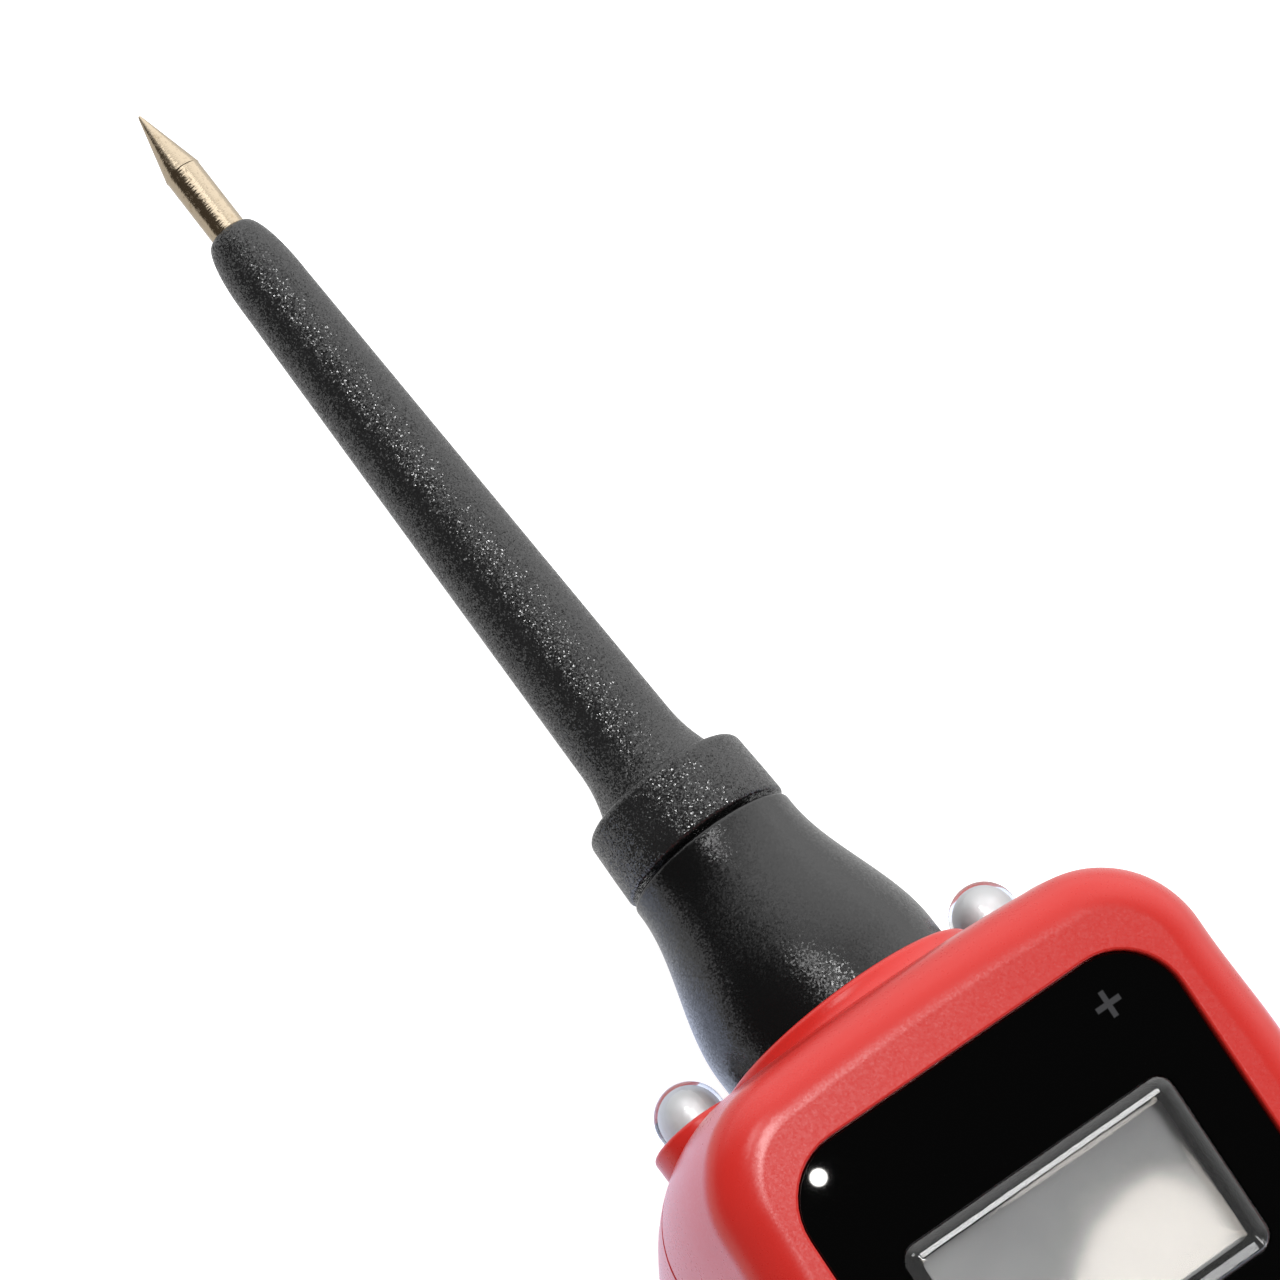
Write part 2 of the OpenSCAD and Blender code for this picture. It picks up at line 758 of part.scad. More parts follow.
// Main chip with its two rows of legs
module controller_chip() {
    legs = 8;
    pitch = 1.1;
    place() color("dimgray") translate([0, chip_y, board_top]) {
        translate([-chip_size[0] / 2, -chip_size[1] / 2, 0.15])
            cube(chip_size);
        for (x = [-1, 1], i = [0 : legs - 1])
            translate([x * (chip_size[0] / 2 + 0.5) - 0.6, (i - (legs - 1) / 2) * pitch - 0.2, 0])
                cube([1.2, 0.4, 0.6]);
    }
}

// Buzzer under the board, over the sound slots
module buzzer() {
    place() color("black") translate([0, buzzer_y, board_base - buzzer_h])
        difference() {
            cylinder(d = buzzer_d, h = buzzer_h);
            translate([0, 0, -1])
                cylinder(d = 2, h = 2.5, $fn = 32);
        }
}

// Breaker that protects the supply
module thermal_breaker() {
    size = breaker_size;
    place() color("saddlebrown") translate([-size[0] / 2, breaker_y - size[1] / 2, board_base - size[2]])
        difference() {
            cube(size);
            translate([-1, size[1] / 2 - 0.6, -1])
                cube([size[0] + 2, 1.2, 1.6]);
        }
}

// Clamps for the two supply conductors
module terminal_block() {
    size = terminal_size;
    place() color("forestgreen") translate([-size[0] / 2, terminal_y - size[1] / 2, board_top])
        difference() {
            cube(size);
            for (x = [-1, 1]) {
                translate([size[0] / 2 + x * size[0] / 4, -1, size[2] * 0.4])
                    rotate([-90, 0, 0])
                        cylinder(d = 2.6, h = size[1] - 1, $fn = 32);
                translate([size[0] / 2 + x * size[0] / 4, size[1] / 2, size[2] * 0.8])
                    cylinder(d = 3, h = size[2], $fn = 32);
            }
        }
}

// One headlight: clear dome, rim and two bent legs
module headlight(side) {
    rim_d = lamp_rim_d;
    rim_t = lamp_rim_t;
    leg_d = 0.5;
    leg_gap = 2.54;
    bend_y = board_front_y - 1.2;
    place() color("whitesmoke") translate([side * lamp_x, 0, 0]) {
        turned([
            [0, -lamp_len - rim_t], [rim_d / 2, -lamp_len - rim_t], [rim_d / 2, -lamp_len],
            [lamp_d / 2, -lamp_len],
            for (a = [0 : 7.5 : 82.5])
                [lamp_d / 2 * cos(a), lamp_d / 2 * sin(a)],
            [0, lamp_d / 2]
        ]);
        for (z = [-1, 1])
            translate([-leg_d / 2, bend_y, z * leg_gap / 2 - leg_d / 2]) {
                cube([leg_d, -lamp_len - rim_t - bend_y + 0.2, leg_d]);
                translate([0, z * 0.3 + 0.3, board_top - z * leg_gap / 2 + leg_d / 2])
                    cube([leg_d, leg_d, leg_gap / 2 * z - board_top]);
            }
    }
}
module headlight_left() headlight(-1);
module headlight_right() headlight(1);

// Light pipe from a polarity light up to the overlay
module light_pipe(side) {
    y = face_point(indicator_set, -wall_top)[0];
    foot = board_top + 1.3;
    place() color("lightyellow") intersection() {
        translate([side * indicator_x, y, foot])
            cylinder(d = pipe_d - 0.6, h = 30);
        on_face()
            translate([0, 0, overlay_base - fit - 20])
                cube([60, 60, 40], center = true);
    }
}
module light_pipe_plus() light_pipe(1);
module light_pipe_minus() light_pipe(-1);

// Polarity light on the board
module indicator_led(side, tint) {
    y = face_point(indicator_set, -wall_top)[0];
    place() color(tint) translate([side * indicator_x, y, board_top]) {
        translate([-1.6, -0.8, 0])
            cube([3.2, 1.6, 0.7]);
        translate([-1, -0.7, 0.7])
            cube([2, 1.4, 0.5]);
    }
}
module indicator_led_plus() indicator_led(1, "red");
module indicator_led_minus() indicator_led(-1, "limegreen");

// Nose cone: swells from the collar to the housing and is held by its flange
function nose_r(y) =
    mix(nose_front_d / 2, nose_base_d / 2, smooth((nose_len - 0.6 - y) / (nose_len - 2.1)));
module nose_cone() {
    edge = 0.35;
    hollow = 6;
    steps = 14;
    place() color("dimgray") difference() {
        intersection() {
            turned(concat(
                [[0, flange_y], [flange_d / 2, flange_y], [flange_d / 2, seat_y - fit],
                 [nose_base_d / 2, seat_y - fit], [nose_base_d / 2, 1.5]],
                [for (i = [1 : steps - 1])
                    let (y = mix(1.5, nose_len - edge, i / steps))
                    [nose_r(y), y]],
                [[nose_r(nose_len - edge), nose_len - edge],
                 [nose_front_d / 2 - 0.1, nose_len - 0.1],
                 [nose_front_d / 2 - edge, nose_len], [0, nose_len]]
            ));
            flats(flange_flat);
        }
        bar(spigot_d + 2 * run, nose_len - spigot_len - fit, nose_len + 1);
        bar(socket_d + 2 * run, flange_y - 1, nose_len);
        // Hollow behind, so that the moulding has an even wall
        difference() {
            bar(nose_base_d - 3.6, flange_y - 1, flange_y + hollow);
            bar(socket_d + 3.2, flange_y - 2, flange_y + hollow + 1);
        }
    }
}

// Insulating sleeve with its collar and spigot, one moulding
module probe_sleeve() {
    edge = 0.6;
    front = collar_y + collar_w;
    round_y = sleeve_end_y - sleeve_round;
    flare = 0.8;
    flare_len = 4.2;
    lip = 0.1;
    mouth = tip_d / 2 + run;
    place() color("dimgray") difference() {
        turned(concat(
            [[0, collar_y - spigot_len], [spigot_d / 2 - 0.3, collar_y - spigot_len],
             [spigot_d / 2, collar_y - spigot_len + 0.4], [spigot_d / 2, collar_y],
             [collar_d / 2 - 0.3, collar_y], [collar_d / 2, collar_y + 0.3]],
            [for (a = [0 : 15 : 90])
                [collar_d / 2 - 0.25 - edge * (1 - cos(a)), front - edge * (1 - sin(a))]],
            [for (i = [0 : 6])
                let (u = flare_len * i / 6, y = front + u)
                [sleeve_r(y, front, round_y) + flare * pow(1 - u / flare_len, 2), y]],
            [[sleeve_end_d / 2, round_y]],
            [for (i = [1 : 11])
                let (a = 7.5 * i)
                [mouth + lip + (sleeve_end_d / 2 - mouth - lip) * cos(a), round_y + sleeve_round * sin(a)]],
            [[mouth + lip, sleeve_end_y], [0, sleeve_end_y]]
        ));
        bar(rod_d + 2 * run, collar_y - spigot_len - 1, sleeve_end_y + 1);
    }
}
function sleeve_r(y, y0, y1) = mix(sleeve_root_d, sleeve_end_d, (y - y0) / (y1 - y0)) / 2;
socket_front_y = 2;
socket_rear_y = socket_front_y - socket_len;

// Hard pointed tip on its rod
module probe_tip() {
    point_y = tip_y - tip_point;
    place() color("gold") turned([
        [0, socket_rear_y + 3], [rod_d / 2, socket_rear_y + 3],
        [rod_d / 2, sleeve_end_y], [tip_d / 2 - 0.12, sleeve_end_y],
        [tip_d / 2, sleeve_end_y + 0.12],
        [tip_d / 2, point_y], [tip_d / 2 + 0.04, point_y + 0.05],
        [0.08, tip_y], [0, tip_y]
    ]);
}

// Socket that takes the rod
module tip_socket() {
    place() color("goldenrod") difference() {
        bar(socket_d, socket_rear_y, socket_front_y);
        bar(rod_d + 2 * run, socket_rear_y + 2, socket_front_y + 1);
    }
}

// Strap from the socket to the board
module contact_strap() {
    strap_w = 4;
    strap_t = 0.4;
    strap_l = 6;
    rear = socket_rear_y - 0.05;
    place() color("silver") translate([-strap_w / 2, 0, 0]) {
        translate([0, rear - strap_t, board_top])
            cube([strap_w, strap_t, 2 - board_top]);
        translate([0, rear - strap_l, board_top])
            cube([strap_w, strap_l, strap_t]);
    }
}

// Rocker: round about its pivot so that its ends never foul the opening
module rocker_button() {
    saddle_r = (pow(rocker_half * 0.75, 2) + pow(saddle_depth, 2)) / (2 * saddle_depth);
    place() color("black") translate([0, rocker_y, pivot_z])
        difference() {
            intersection() {
                rotate([0, 90, 0])
                    cylinder(r = rocker_half, h = rocker_w, center = true, $fn = 96);
                translate([-rocker_w, -rocker_half - 1, -rocker_under])
                    cube([2 * rocker_w, 2 * rocker_half + 2, rocker_under + rocker_rise]);
            }
            translate([0, 0, rocker_rise - saddle_depth + saddle_r])
                rotate([0, 90, 0])
                    cylinder(r = saddle_r, h = rocker_w + 2, center = true, $fn = 128);
            rotate([0, 90, 0])
                cylinder(d = pivot_d + 2 * run, h = rocker_w + 2, center = true);
        }
}

// Frame round the rocker, standing on the board
module rocker_frame() {
    top = grip_top - wall_top - rocker_gap;
    place() color("dimgray") translate([0, rocker_y, 0])
        difference() {
            translate([-frame_half_w, -frame_half_l, board_top])
                cube([2 * frame_half_w, 2 * frame_half_l, top - board_top]);
            translate([-frame_half_w + frame_wall, -frame_half_l + frame_wall, board_top - 1])
                cube([rocker_w + 2 * rocker_gap, 2 * (rocker_half + rocker_gap), 20]);
            translate([0, 0, pivot_z])
                rotate([0, 90, 0])
                    cylinder(d = pivot_d + 2 * run, h = 2 * frame_half_w + 2, center = true);
        }
}

module rocker_pin() {
    place() color("silver") translate([0, rocker_y, pivot_z])
        rotate([0, 90, 0])
            cylinder(d = pivot_d, h = 2 * frame_half_w - 0.4, center = true);
}

// Sprung contact under one end of the rocker
module contact_leaf(side) {
    leaf_w = 4;
    leaf_t = 0.3;
    leaf_l = 5;
    rise = 2.2;
    place() color("darkgoldenrod") translate([-leaf_w / 2, rocker_y + side * 2.5, board_top])
        mirror([0, side < 0 ? 1 : 0, 0]) {
            cube([leaf_w, 3, leaf_t]);
            cube([leaf_w, leaf_t, rise]);
            translate([0, 0, rise - leaf_t])
                cube([leaf_w, leaf_l, leaf_t]);
        }
}
module contact_leaf_front() contact_leaf(1);
module contact_leaf_rear() contact_leaf(-1);

// Rubber inlet for the supply lead, gripping the tail wall between two flanges
module cable_inlet() {
    neck = wall + side_bulge + 2 * fit;
    edge = 0.5;
    rear = -inlet_flange_t;
    place() color("black") translate([0, tail_y, -inlet_drop])
        difference() {
            turned([
                [0, rear], [inlet_flange_d / 2 - edge, rear], [inlet_flange_d / 2, rear + edge],
                [inlet_flange_d / 2, -fit], [inlet_neck_d / 2, -fit],
                [inlet_neck_d / 2, neck], [inlet_flange_d / 2, neck],
                [inlet_flange_d / 2, neck + inlet_flange_t], [0, neck + inlet_flange_t]
            ]);
            bar(inlet_d, -inlet_flange_t - 1, neck + inlet_flange_t + 1);
        }
}

module cross_recess(d, depth) {
    for (a = [0, 90])
        rotate([0, 0, a])
            translate([-d / 2, -d / 10, 0])
                cube([d, d / 5, depth]);
}

// Four screws that hold the shells together
module housing_screws() {
    place() color("silver")
        for (p = screw_places)
            translate([p[0], p[1], -screw_seat])
                difference() {
                    union() {
                        cylinder(d = screw_d, h = screw_len);
                        translate([0, 0, -screw_head_h])
                            cylinder(d = screw_head_d, h = screw_head_h);
                    }
                    translate([0, 0, -screw_head_h - 0.01])
                        cross_recess(screw_head_d * 0.6, 1.2);
                }
}

// Two screws that hold the board to its posts
module board_screws() {
    place() color("silver")
        for (y = board_post_ys)
            translate([0, y, board_top])
                difference() {
                    union() {
                        translate([0, 0, -board_screw_len])
                            cylinder(d = board_screw_d, h = board_screw_len);
                        cylinder(d = board_head_d, h = board_head_h);
                    }
                    translate([0, 0, board_head_h - 0.8])
                        cross_recess(board_head_d * 0.6, 1);
                }
}

front_shell();
back_shell();
face_overlay();
display_window();
lcd_panel();
lcd_backlight();
lcd_frame();
lcd_flex();
circuit_board();
controller_chip();
buzzer();
thermal_breaker();
terminal_block();
headlight_left();
headlight_right();
light_pipe_plus();
light_pipe_minus();
indicator_led_plus();
indicator_led_minus();
nose_cone();
probe_sleeve();
probe_tip();
tip_socket();
contact_strap();
rocker_button();
rocker_frame();
rocker_pin();
contact_leaf_front();
contact_leaf_rear();
cable_inlet();
housing_screws();
board_screws();
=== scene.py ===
# %% [markdown]
# # A handheld circuit tester
# The tester is a red two-part housing with a sloping display, two clear headlights, a black nose and
# sleeve and a pale pointed tip. Its CAD model comes in as a fixed frame. Pieces whose shape is right
# there only get a better finish. The rounded mouldings are made again here, as finer surfaces.
# The frame is in metres, but a maker thinks of this tester in millimetres from the probe's axis.
# So one small function turns such a place into the frame's own, and every piece uses it.

# %% Load the CAD frame
import math

import bmesh
import bpy
from mathutils import Matrix, Quaternion, Vector
from mathutils.bvhtree import BVHTree
from mathutils.geometry import barycentric_transform


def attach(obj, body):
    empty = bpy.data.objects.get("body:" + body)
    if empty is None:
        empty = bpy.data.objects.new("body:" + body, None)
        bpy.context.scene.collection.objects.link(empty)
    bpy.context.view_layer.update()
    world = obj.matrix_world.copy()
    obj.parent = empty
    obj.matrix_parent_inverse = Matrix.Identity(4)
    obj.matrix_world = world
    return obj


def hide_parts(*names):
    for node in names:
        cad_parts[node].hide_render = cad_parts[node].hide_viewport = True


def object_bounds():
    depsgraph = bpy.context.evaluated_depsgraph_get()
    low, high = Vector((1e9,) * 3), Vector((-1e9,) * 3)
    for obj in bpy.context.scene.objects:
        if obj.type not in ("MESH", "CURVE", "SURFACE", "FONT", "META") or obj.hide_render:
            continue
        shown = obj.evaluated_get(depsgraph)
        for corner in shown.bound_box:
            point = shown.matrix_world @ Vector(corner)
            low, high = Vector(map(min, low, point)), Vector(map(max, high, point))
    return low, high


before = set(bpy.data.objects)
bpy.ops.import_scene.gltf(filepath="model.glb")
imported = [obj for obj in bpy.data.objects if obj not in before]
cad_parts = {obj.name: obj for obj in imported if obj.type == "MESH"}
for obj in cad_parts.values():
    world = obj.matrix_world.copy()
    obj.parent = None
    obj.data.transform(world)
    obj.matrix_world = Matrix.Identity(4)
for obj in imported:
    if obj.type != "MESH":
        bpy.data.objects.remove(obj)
cad_low, cad_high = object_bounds()
print("CAD box in mm:", [round(v * 1000, 2) for v in (*cad_low, *cad_high)])

TIP_Y, BACK_DEPTH = 83.0, 13.5
SHIFT = Vector((0, cad_high.y * 1000 - TIP_Y, BACK_DEPTH))


def at(x, y, z):
    """A place in millimetres from the probe's axis, in the frame's metres."""
    return (Vector((x, y, z)) + SHIFT) / 1000


# %% [markdown]
# The camera stands where the photographer stood: above the tester, a little to its left and behind the
# display. It was fitted to the outline of the probe, the headlights and the display, so its turn is
# given by its own three axes. A long lens keeps the perspective as flat as it is in the photograph.

# %% Place the camera
LENS_MM, SENSOR_MM = 182.8, 36
CAMERA_PLACE = (-126.2, -91.0, 414.1)

camera_data = bpy.data.cameras.new("camera")
camera_data.lens, camera_data.sensor_width = LENS_MM, SENSOR_MM
camera_data.clip_start, camera_data.clip_end = 0.05, 10
camera = bpy.data.objects.new("camera", camera_data)
bpy.context.scene.collection.objects.link(camera)
across = Vector((0.8007, -0.5935, 0.0810)).normalized()
backward = Vector((-0.2918, -0.2683, 0.9181))
backward = (backward - across * across.dot(backward)).normalized()
upward = backward.cross(across)
turn = Matrix((across, upward, backward)).transposed().to_4x4()
camera.matrix_world = Matrix.Translation(at(*CAMERA_PLACE)) @ turn
bpy.context.scene.camera = camera
print("camera at", [round(v, 4) for v in camera.location])

# %% [markdown]
# Every finish is built from shader nodes. Two small classes keep that readable. A `Value` wraps one
# socket, and Python's own operators add the Math nodes, so a pattern reads as a formula. A `Finish`
# is a material with one Principled shader, and `add` makes any other node from settings and inputs.

# %% Shader maths
class Value:
    """A node's output that changes over a surface, with Python's operators."""

    def __init__(self, finish, socket):
        self.finish, self.socket = finish, socket

    def out(self, name):
        """Another output of the same node."""
        return Value(self.finish, self.socket.node.outputs[name])

    def _math(self, operation, *inputs, clamp=False):
        settings = {"operation": operation, "use_clamp": clamp}
        return self.finish.add("ShaderNodeMath", settings, dict(enumerate(inputs)))

    def __add__(self, other):
        return self._math("ADD", self, other)

    __radd__ = __add__

    def __mul__(self, other):
        return self._math("MULTIPLY", self, other)

    __rmul__ = __mul__

    def __sub__(self, other):
        return self._math("SUBTRACT", self, other)

    def __rsub__(self, other):
        return self._math("SUBTRACT", other, self)

    def __abs__(self):
        return self._math("ABSOLUTE", self)

    def __neg__(self):
        return self * -1

    def sine(self):
        return self._math("SINE", self)

    def high(self, other):
        return self._math("MAXIMUM", self, other)

    def below(self, edge, soft):
        """1 where the value is under the edge, 0 above, with a soft step between."""
        return self._math("DIVIDE", edge - self + soft / 2, soft, clamp=True)

    def fade(self, start, end):
        """0 at start and 1 at end, eased between."""
        settings = {"interpolation_type": "SMOOTHSTEP"}
        values = {"Value": self, "From Min": start, "From Max": end}
        return self.finish.add("ShaderNodeMapRange", settings, values)


class Finish:
    """A material with one Principled shader, plain until a pattern is set on its sockets."""

    def __init__(self, name, color, roughness, **constants):
        self.material = bpy.data.materials.new(name)
        self.material.use_nodes = True
        self.tree = self.material.node_tree
        self.shader = self.tree.nodes["Principled BSDF"]
        self.set("Base Color", color)
        self.set("Roughness", roughness)
        for socket, value in constants.items():
            self.set(socket.replace("_", " "), value)

    def link(self, value, socket):
        if isinstance(value, Value):
            self.tree.links.new(value.socket, socket)
        elif socket.type == "RGBA":
            socket.default_value = (*value, 1)
        else:
            socket.default_value = value

    def add(self, kind, settings=None, values=None):
        node = self.tree.nodes.new(kind)
        for key, value in (settings or {}).items():
            setattr(node, key, value)
        for key, value in (values or {}).items():
            self.link(value, node.inputs[key])
        return Value(self, node.outputs[0])

    def set(self, socket, value):
        self.link(value, self.shader.inputs[socket])

    def spot(self):
        """The place on the piece, in metres, where the shader is working."""
        return self.add("ShaderNodeTexCoord").out("Object")

    def place(self):
        """x, y and z on the tester in millimetres from the probe's axis."""
        parts = self.add("ShaderNodeSeparateXYZ", None, {0: self.spot()})
        return [parts.out(i) * 1000 - SHIFT[i] for i in range(3)]

    def noise(self, size_mm, detail=2.0, rough=0.5, stretch=(1, 1, 1)):
        """Soft noise from 0 to 1 with blobs about size_mm across, drawn out by stretch."""
        mapping = {"Vector": self.spot(), "Scale": [1 / s for s in stretch]}
        mapped = self.add("ShaderNodeMapping", None, mapping)
        values = {"Vector": mapped, "Scale": 1000 / size_mm, "Detail": detail, "Roughness": rough}
        return self.add("ShaderNodeTexNoise", None, values)

    def mix(self, share, a, b):
        """Colour a where share is 0, and b where it is 1."""
        values = {0: share, 6: a, 7: b}
        return self.add("ShaderNodeMix", {"data_type": "RGBA"}, values).out(2)

    def vector(self, operation, *inputs):
        return self.add("ShaderNodeVectorMath", {"operation": operation}, dict(enumerate(inputs)))

    def facets(self, size_mm, tilt):
        """Tiny flat facets, each tilted its own way, for a surface that glitters."""
        values = {"Vector": self.spot(), "Scale": 1000 / size_mm}
        cells = self.add("ShaderNodeTexVoronoi", None, values)
        turn = self.vector("SUBTRACT", cells.out("Color"), (0.5, 0.5, 0.5))
        tilted = self.vector("MULTIPLY", turn, (tilt,) * 3)
        normal = self.add("ShaderNodeNewGeometry").out("Normal")
        self.set("Normal", self.vector("NORMALIZE", self.vector("ADD", normal, tilted)))

    def bump(self, height, depth_mm, strength=1.0):
        """Shading of a relief, whose height of 0 to 1 stands for depth_mm."""
        values = {"Height": height, "Distance": depth_mm / 1000, "Strength": strength}
        self.set("Normal", self.add("ShaderNodeBump", None, values))


# %% [markdown]
# The housing is injection moulded in a glossy red plastic. Its tool was lightly spark-eroded, which
# leaves a fine even grain that only shows in the highlights. So the colour is nearly flat, and the
# grain is a layer of tiny facets, each tilted by about one degree.

# %% Red plastic of the housing
red = Finish("red_plastic", (0.66, 0.024, 0.018), 0.3)
red_grain = red.noise(0.3, 1.0)
red_cloud = red.noise(9)
RED_DEEP, RED_BRIGHT = (0.60, 0.022, 0.016), (0.66, 0.027, 0.020)
red.set("Base Color", red.mix(red_cloud, RED_DEEP, RED_BRIGHT))
red.set("Roughness", 0.25 + red_grain * 0.03 + red_cloud * 0.03)
red.facets(0.12, 0.036)
print("finish:", red.material.name)

# %% [markdown]
# The nose, collar and sleeve are a harder black plastic from a coarsely eroded tool. Seen close, it
# glitters with white specks where its tiny pits catch the light, so its facets are steeper. The same
# recipe serves the rocker and its frame with other numbers.

# %% Black textured plastics
def textured_black(name, color, roughness, grain_mm, tilt):
    """Dark plastic from a spark-eroded mould."""
    made = Finish(name, color, roughness)
    pits = made.noise(grain_mm, 1.0, 0.6)
    cloud = made.noise(grain_mm * 30)
    made.set("Base Color", made.mix(cloud, [c * 0.85 for c in color], [c * 1.2 for c in color]))
    made.set("Roughness", roughness - 0.05 + pits * 0.10)
    made.facets(grain_mm, tilt)
    print("finish:", name)
    return made


sleeve_black = textured_black("sleeve_black", (0.016, 0.016, 0.0162), 0.18, 0.09, 0.65)
nose_black = textured_black("nose_black", (0.005, 0.005, 0.0051), 0.22, 0.11, 0.18)
rocker_black = textured_black("rocker_black", (0.016, 0.016, 0.017), 0.32, 0.16, 0.20)
frame_black = textured_black("frame_black", (0.016, 0.016, 0.017), 0.40, 0.2, 0.15)

# %% [markdown]
# The overlay is a polished black sheet. A polarity mark is printed on its rear side, so it shows as a
# faint grey plus. Its place is measured on the face itself: `face_x` across it and `face_s` down its
# slope from the overlay's front edge. A plus is two bars, so a few comparisons draw it.

# %% Glossy overlay with its printed plus
SLOPE = math.radians(14.75)
FACE_Z, FACE_Y = 16.8, -10.0
SIGN_X, SIGN_S, SIGN_SPAN, SIGN_LINE, SIGN_SOFT = 10.4, 3.1, 1.95, 0.4, 0.08
SHEET_BLACK, SIGN_GREY = (0.001, 0.001, 0.001), (0.055, 0.055, 0.058)

gloss = Finish("overlay_gloss", SHEET_BLACK, 0.01)
face_x, face_y, face_z = gloss.place()
face_s = (FACE_Y - face_y) * math.cos(SLOPE) + (FACE_Z - face_z) * math.sin(SLOPE)
down = abs(face_s - SIGN_S)
aside = abs(face_x - SIGN_X)


def bar(width, height):
    """A printed bar of that size round the sign's place."""
    return aside.below(width / 2, SIGN_SOFT) * down.below(height / 2, SIGN_SOFT)


sign = bar(SIGN_SPAN, SIGN_LINE).high(bar(SIGN_LINE, SIGN_SPAN))
gloss.set("Base Color", gloss.mix(sign, SHEET_BLACK, SIGN_GREY))
print("finish: overlay with a plus sign")

# %% [markdown]
# The window and the headlights are solid clear plastic that bends what is behind it. A path tracer
# finds little light behind such a solid, so shadow and diffuse rays pass straight through it.

# %% Clear window and lenses
def clear(name, roughness, tint):
    """Refracting plastic that lets the light through to what is behind it."""
    made = Finish(name, (tint, tint, tint), roughness, Transmission_Weight=1.0, IOR=1.49)
    path = made.add("ShaderNodeLightPath")
    passing = path.out("Is Shadow Ray").high(path.out("Is Diffuse Ray"))
    straight = made.add("ShaderNodeBsdfTransparent", None, {"Color": (tint, tint, tint)})
    shares = {0: passing, 1: Value(made, made.shader.outputs[0]), 2: straight}
    mixed = made.add("ShaderNodeMixShader", None, shares)
    made.link(mixed, made.tree.nodes["Material Output"].inputs[0])
    return made


window_clear = clear("window_clear", 0.035, 0.96)
window_clear.bump(window_clear.noise(5.0, 1.0), 0.006, 0.3)
lens_clear = clear("lens_clear", 0.02, 0.94)
lens_clear.bump(lens_clear.noise(1.4, 1.0), 0.01, 0.2)
print("finish: clear window and lenses")

# %% [markdown]
# The liquid crystal cell is a dull grey glass. With no supply it shows nothing, so it only gets a faint
# grain, and a painted shade makes it darker toward its upper right, as it does in the photograph.

# %% Liquid crystal cell
cell_grey = Finish("cell_grey", (0.30, 0.31, 0.30), 0.36)
cell_x, cell_y, _ = cell_grey.place()
# Painted shade: the cell grows darker toward its upper right, and a soft mottle is mixed in
cell_shade = (cell_y + cell_x * 0.4).fade(-33.0, -15.0)
cell_mottle_and_shade = cell_grey.noise(5.0) * 0.4 + cell_shade * 0.7
CELL_PALE, CELL_DIM = (0.25, 0.252, 0.25), (0.085, 0.086, 0.085)
cell_grey.set("Base Color", cell_grey.mix(cell_mottle_and_shade, CELL_PALE, CELL_DIM))
cell_grey.bump(cell_grey.noise(0.5), 0.004, 0.3)
print("finish:", cell_grey.material.name)

# %% [markdown]
# The rest of the finishes belong mostly to pieces inside the housing, which show through the window,
# the headlights, the rocker's gap or an opened housing. One recipe varies a base colour with soft noise
# and adds a fine bump. Metals that were turned or rolled stretch that noise along their lines.

# %% Finishes of the inner pieces
def moulded(name, color, roughness, size_mm=1.2, spread=0.12, **constants):
    """Plastic, film or lacquer with a soft change of tone and a fine grain."""
    made = Finish(name, color, roughness, **constants)
    tone = made.noise(size_mm * 5)
    grain = made.noise(size_mm * 0.2)
    dark, light = [c * (1 - spread) for c in color], [c * (1 + spread) for c in color]
    made.set("Base Color", made.mix(tone, dark, light))
    made.set("Roughness", roughness - 0.04 + grain * 0.08)
    made.bump(grain, 0.01, 0.4)
    return made


def worked_metal(name, color, roughness, stretch, lines_mm=0.08):
    """Metal with fine lines along the direction it was turned, rolled or drawn."""
    made = Finish(name, color, roughness, Metallic=1.0)
    lines = made.noise(lines_mm, 2.0, 0.6, stretch)
    stain = made.noise(2.5, 3.0)
    made.set("Base Color", made.mix(stain, [c * 0.86 for c in color], color))
    made.set("Roughness", roughness - 0.05 + lines * 0.12)
    made.bump(lines, 0.006, 0.5)
    return made


board_green = moulded("board_green", (0.020, 0.16, 0.055), 0.30, 1.0)
chip_black = moulded("chip_black", (0.022, 0.022, 0.023), 0.55, 0.5)
breaker_brown = moulded("breaker_brown", (0.090, 0.040, 0.022), 0.45)
terminal_green = moulded("terminal_green", (0.035, 0.22, 0.080), 0.42)
frame_dark = moulded("frame_dark", (0.020, 0.020, 0.021), 0.45)
diffuser_white = moulded("diffuser_white", (0.80, 0.80, 0.78), 0.5, 0.8, 0.04)
reflector = moulded("reflector", (0.64, 0.65, 0.66), 0.40, 0.8, 0.06, Metallic=0.3)
bevel_darkening_black = moulded("bevel_darkening_black", (0.004, 0.004, 0.004), 0.9, Specular_IOR_Level=0.0)
film_amber = moulded("film_amber", (0.52, 0.19, 0.035), 0.25, 0.8)
inlet_rubber = moulded("inlet_rubber", (0.016, 0.016, 0.016), 0.62, 0.9)
red_lamp = moulded("red_lamp", (0.62, 0.035, 0.028), 0.22, 0.6)
green_lamp = moulded("green_lamp", (0.045, 0.42, 0.085), 0.22, 0.6)
brass = worked_metal("socket_brass", (0.78, 0.56, 0.26), 0.30, (8, 0.4, 8))
bronze = worked_metal("leaf_bronze", (0.70, 0.44, 0.22), 0.32, (1, 10, 1))
tinned = worked_metal("tinned_strip", (0.72, 0.72, 0.70), 0.34, (1, 10, 1))
zinc = worked_metal("zinc_steel", (0.60, 0.60, 0.61), 0.33, (4, 4, 4))
print("finishes of the inner pieces made")
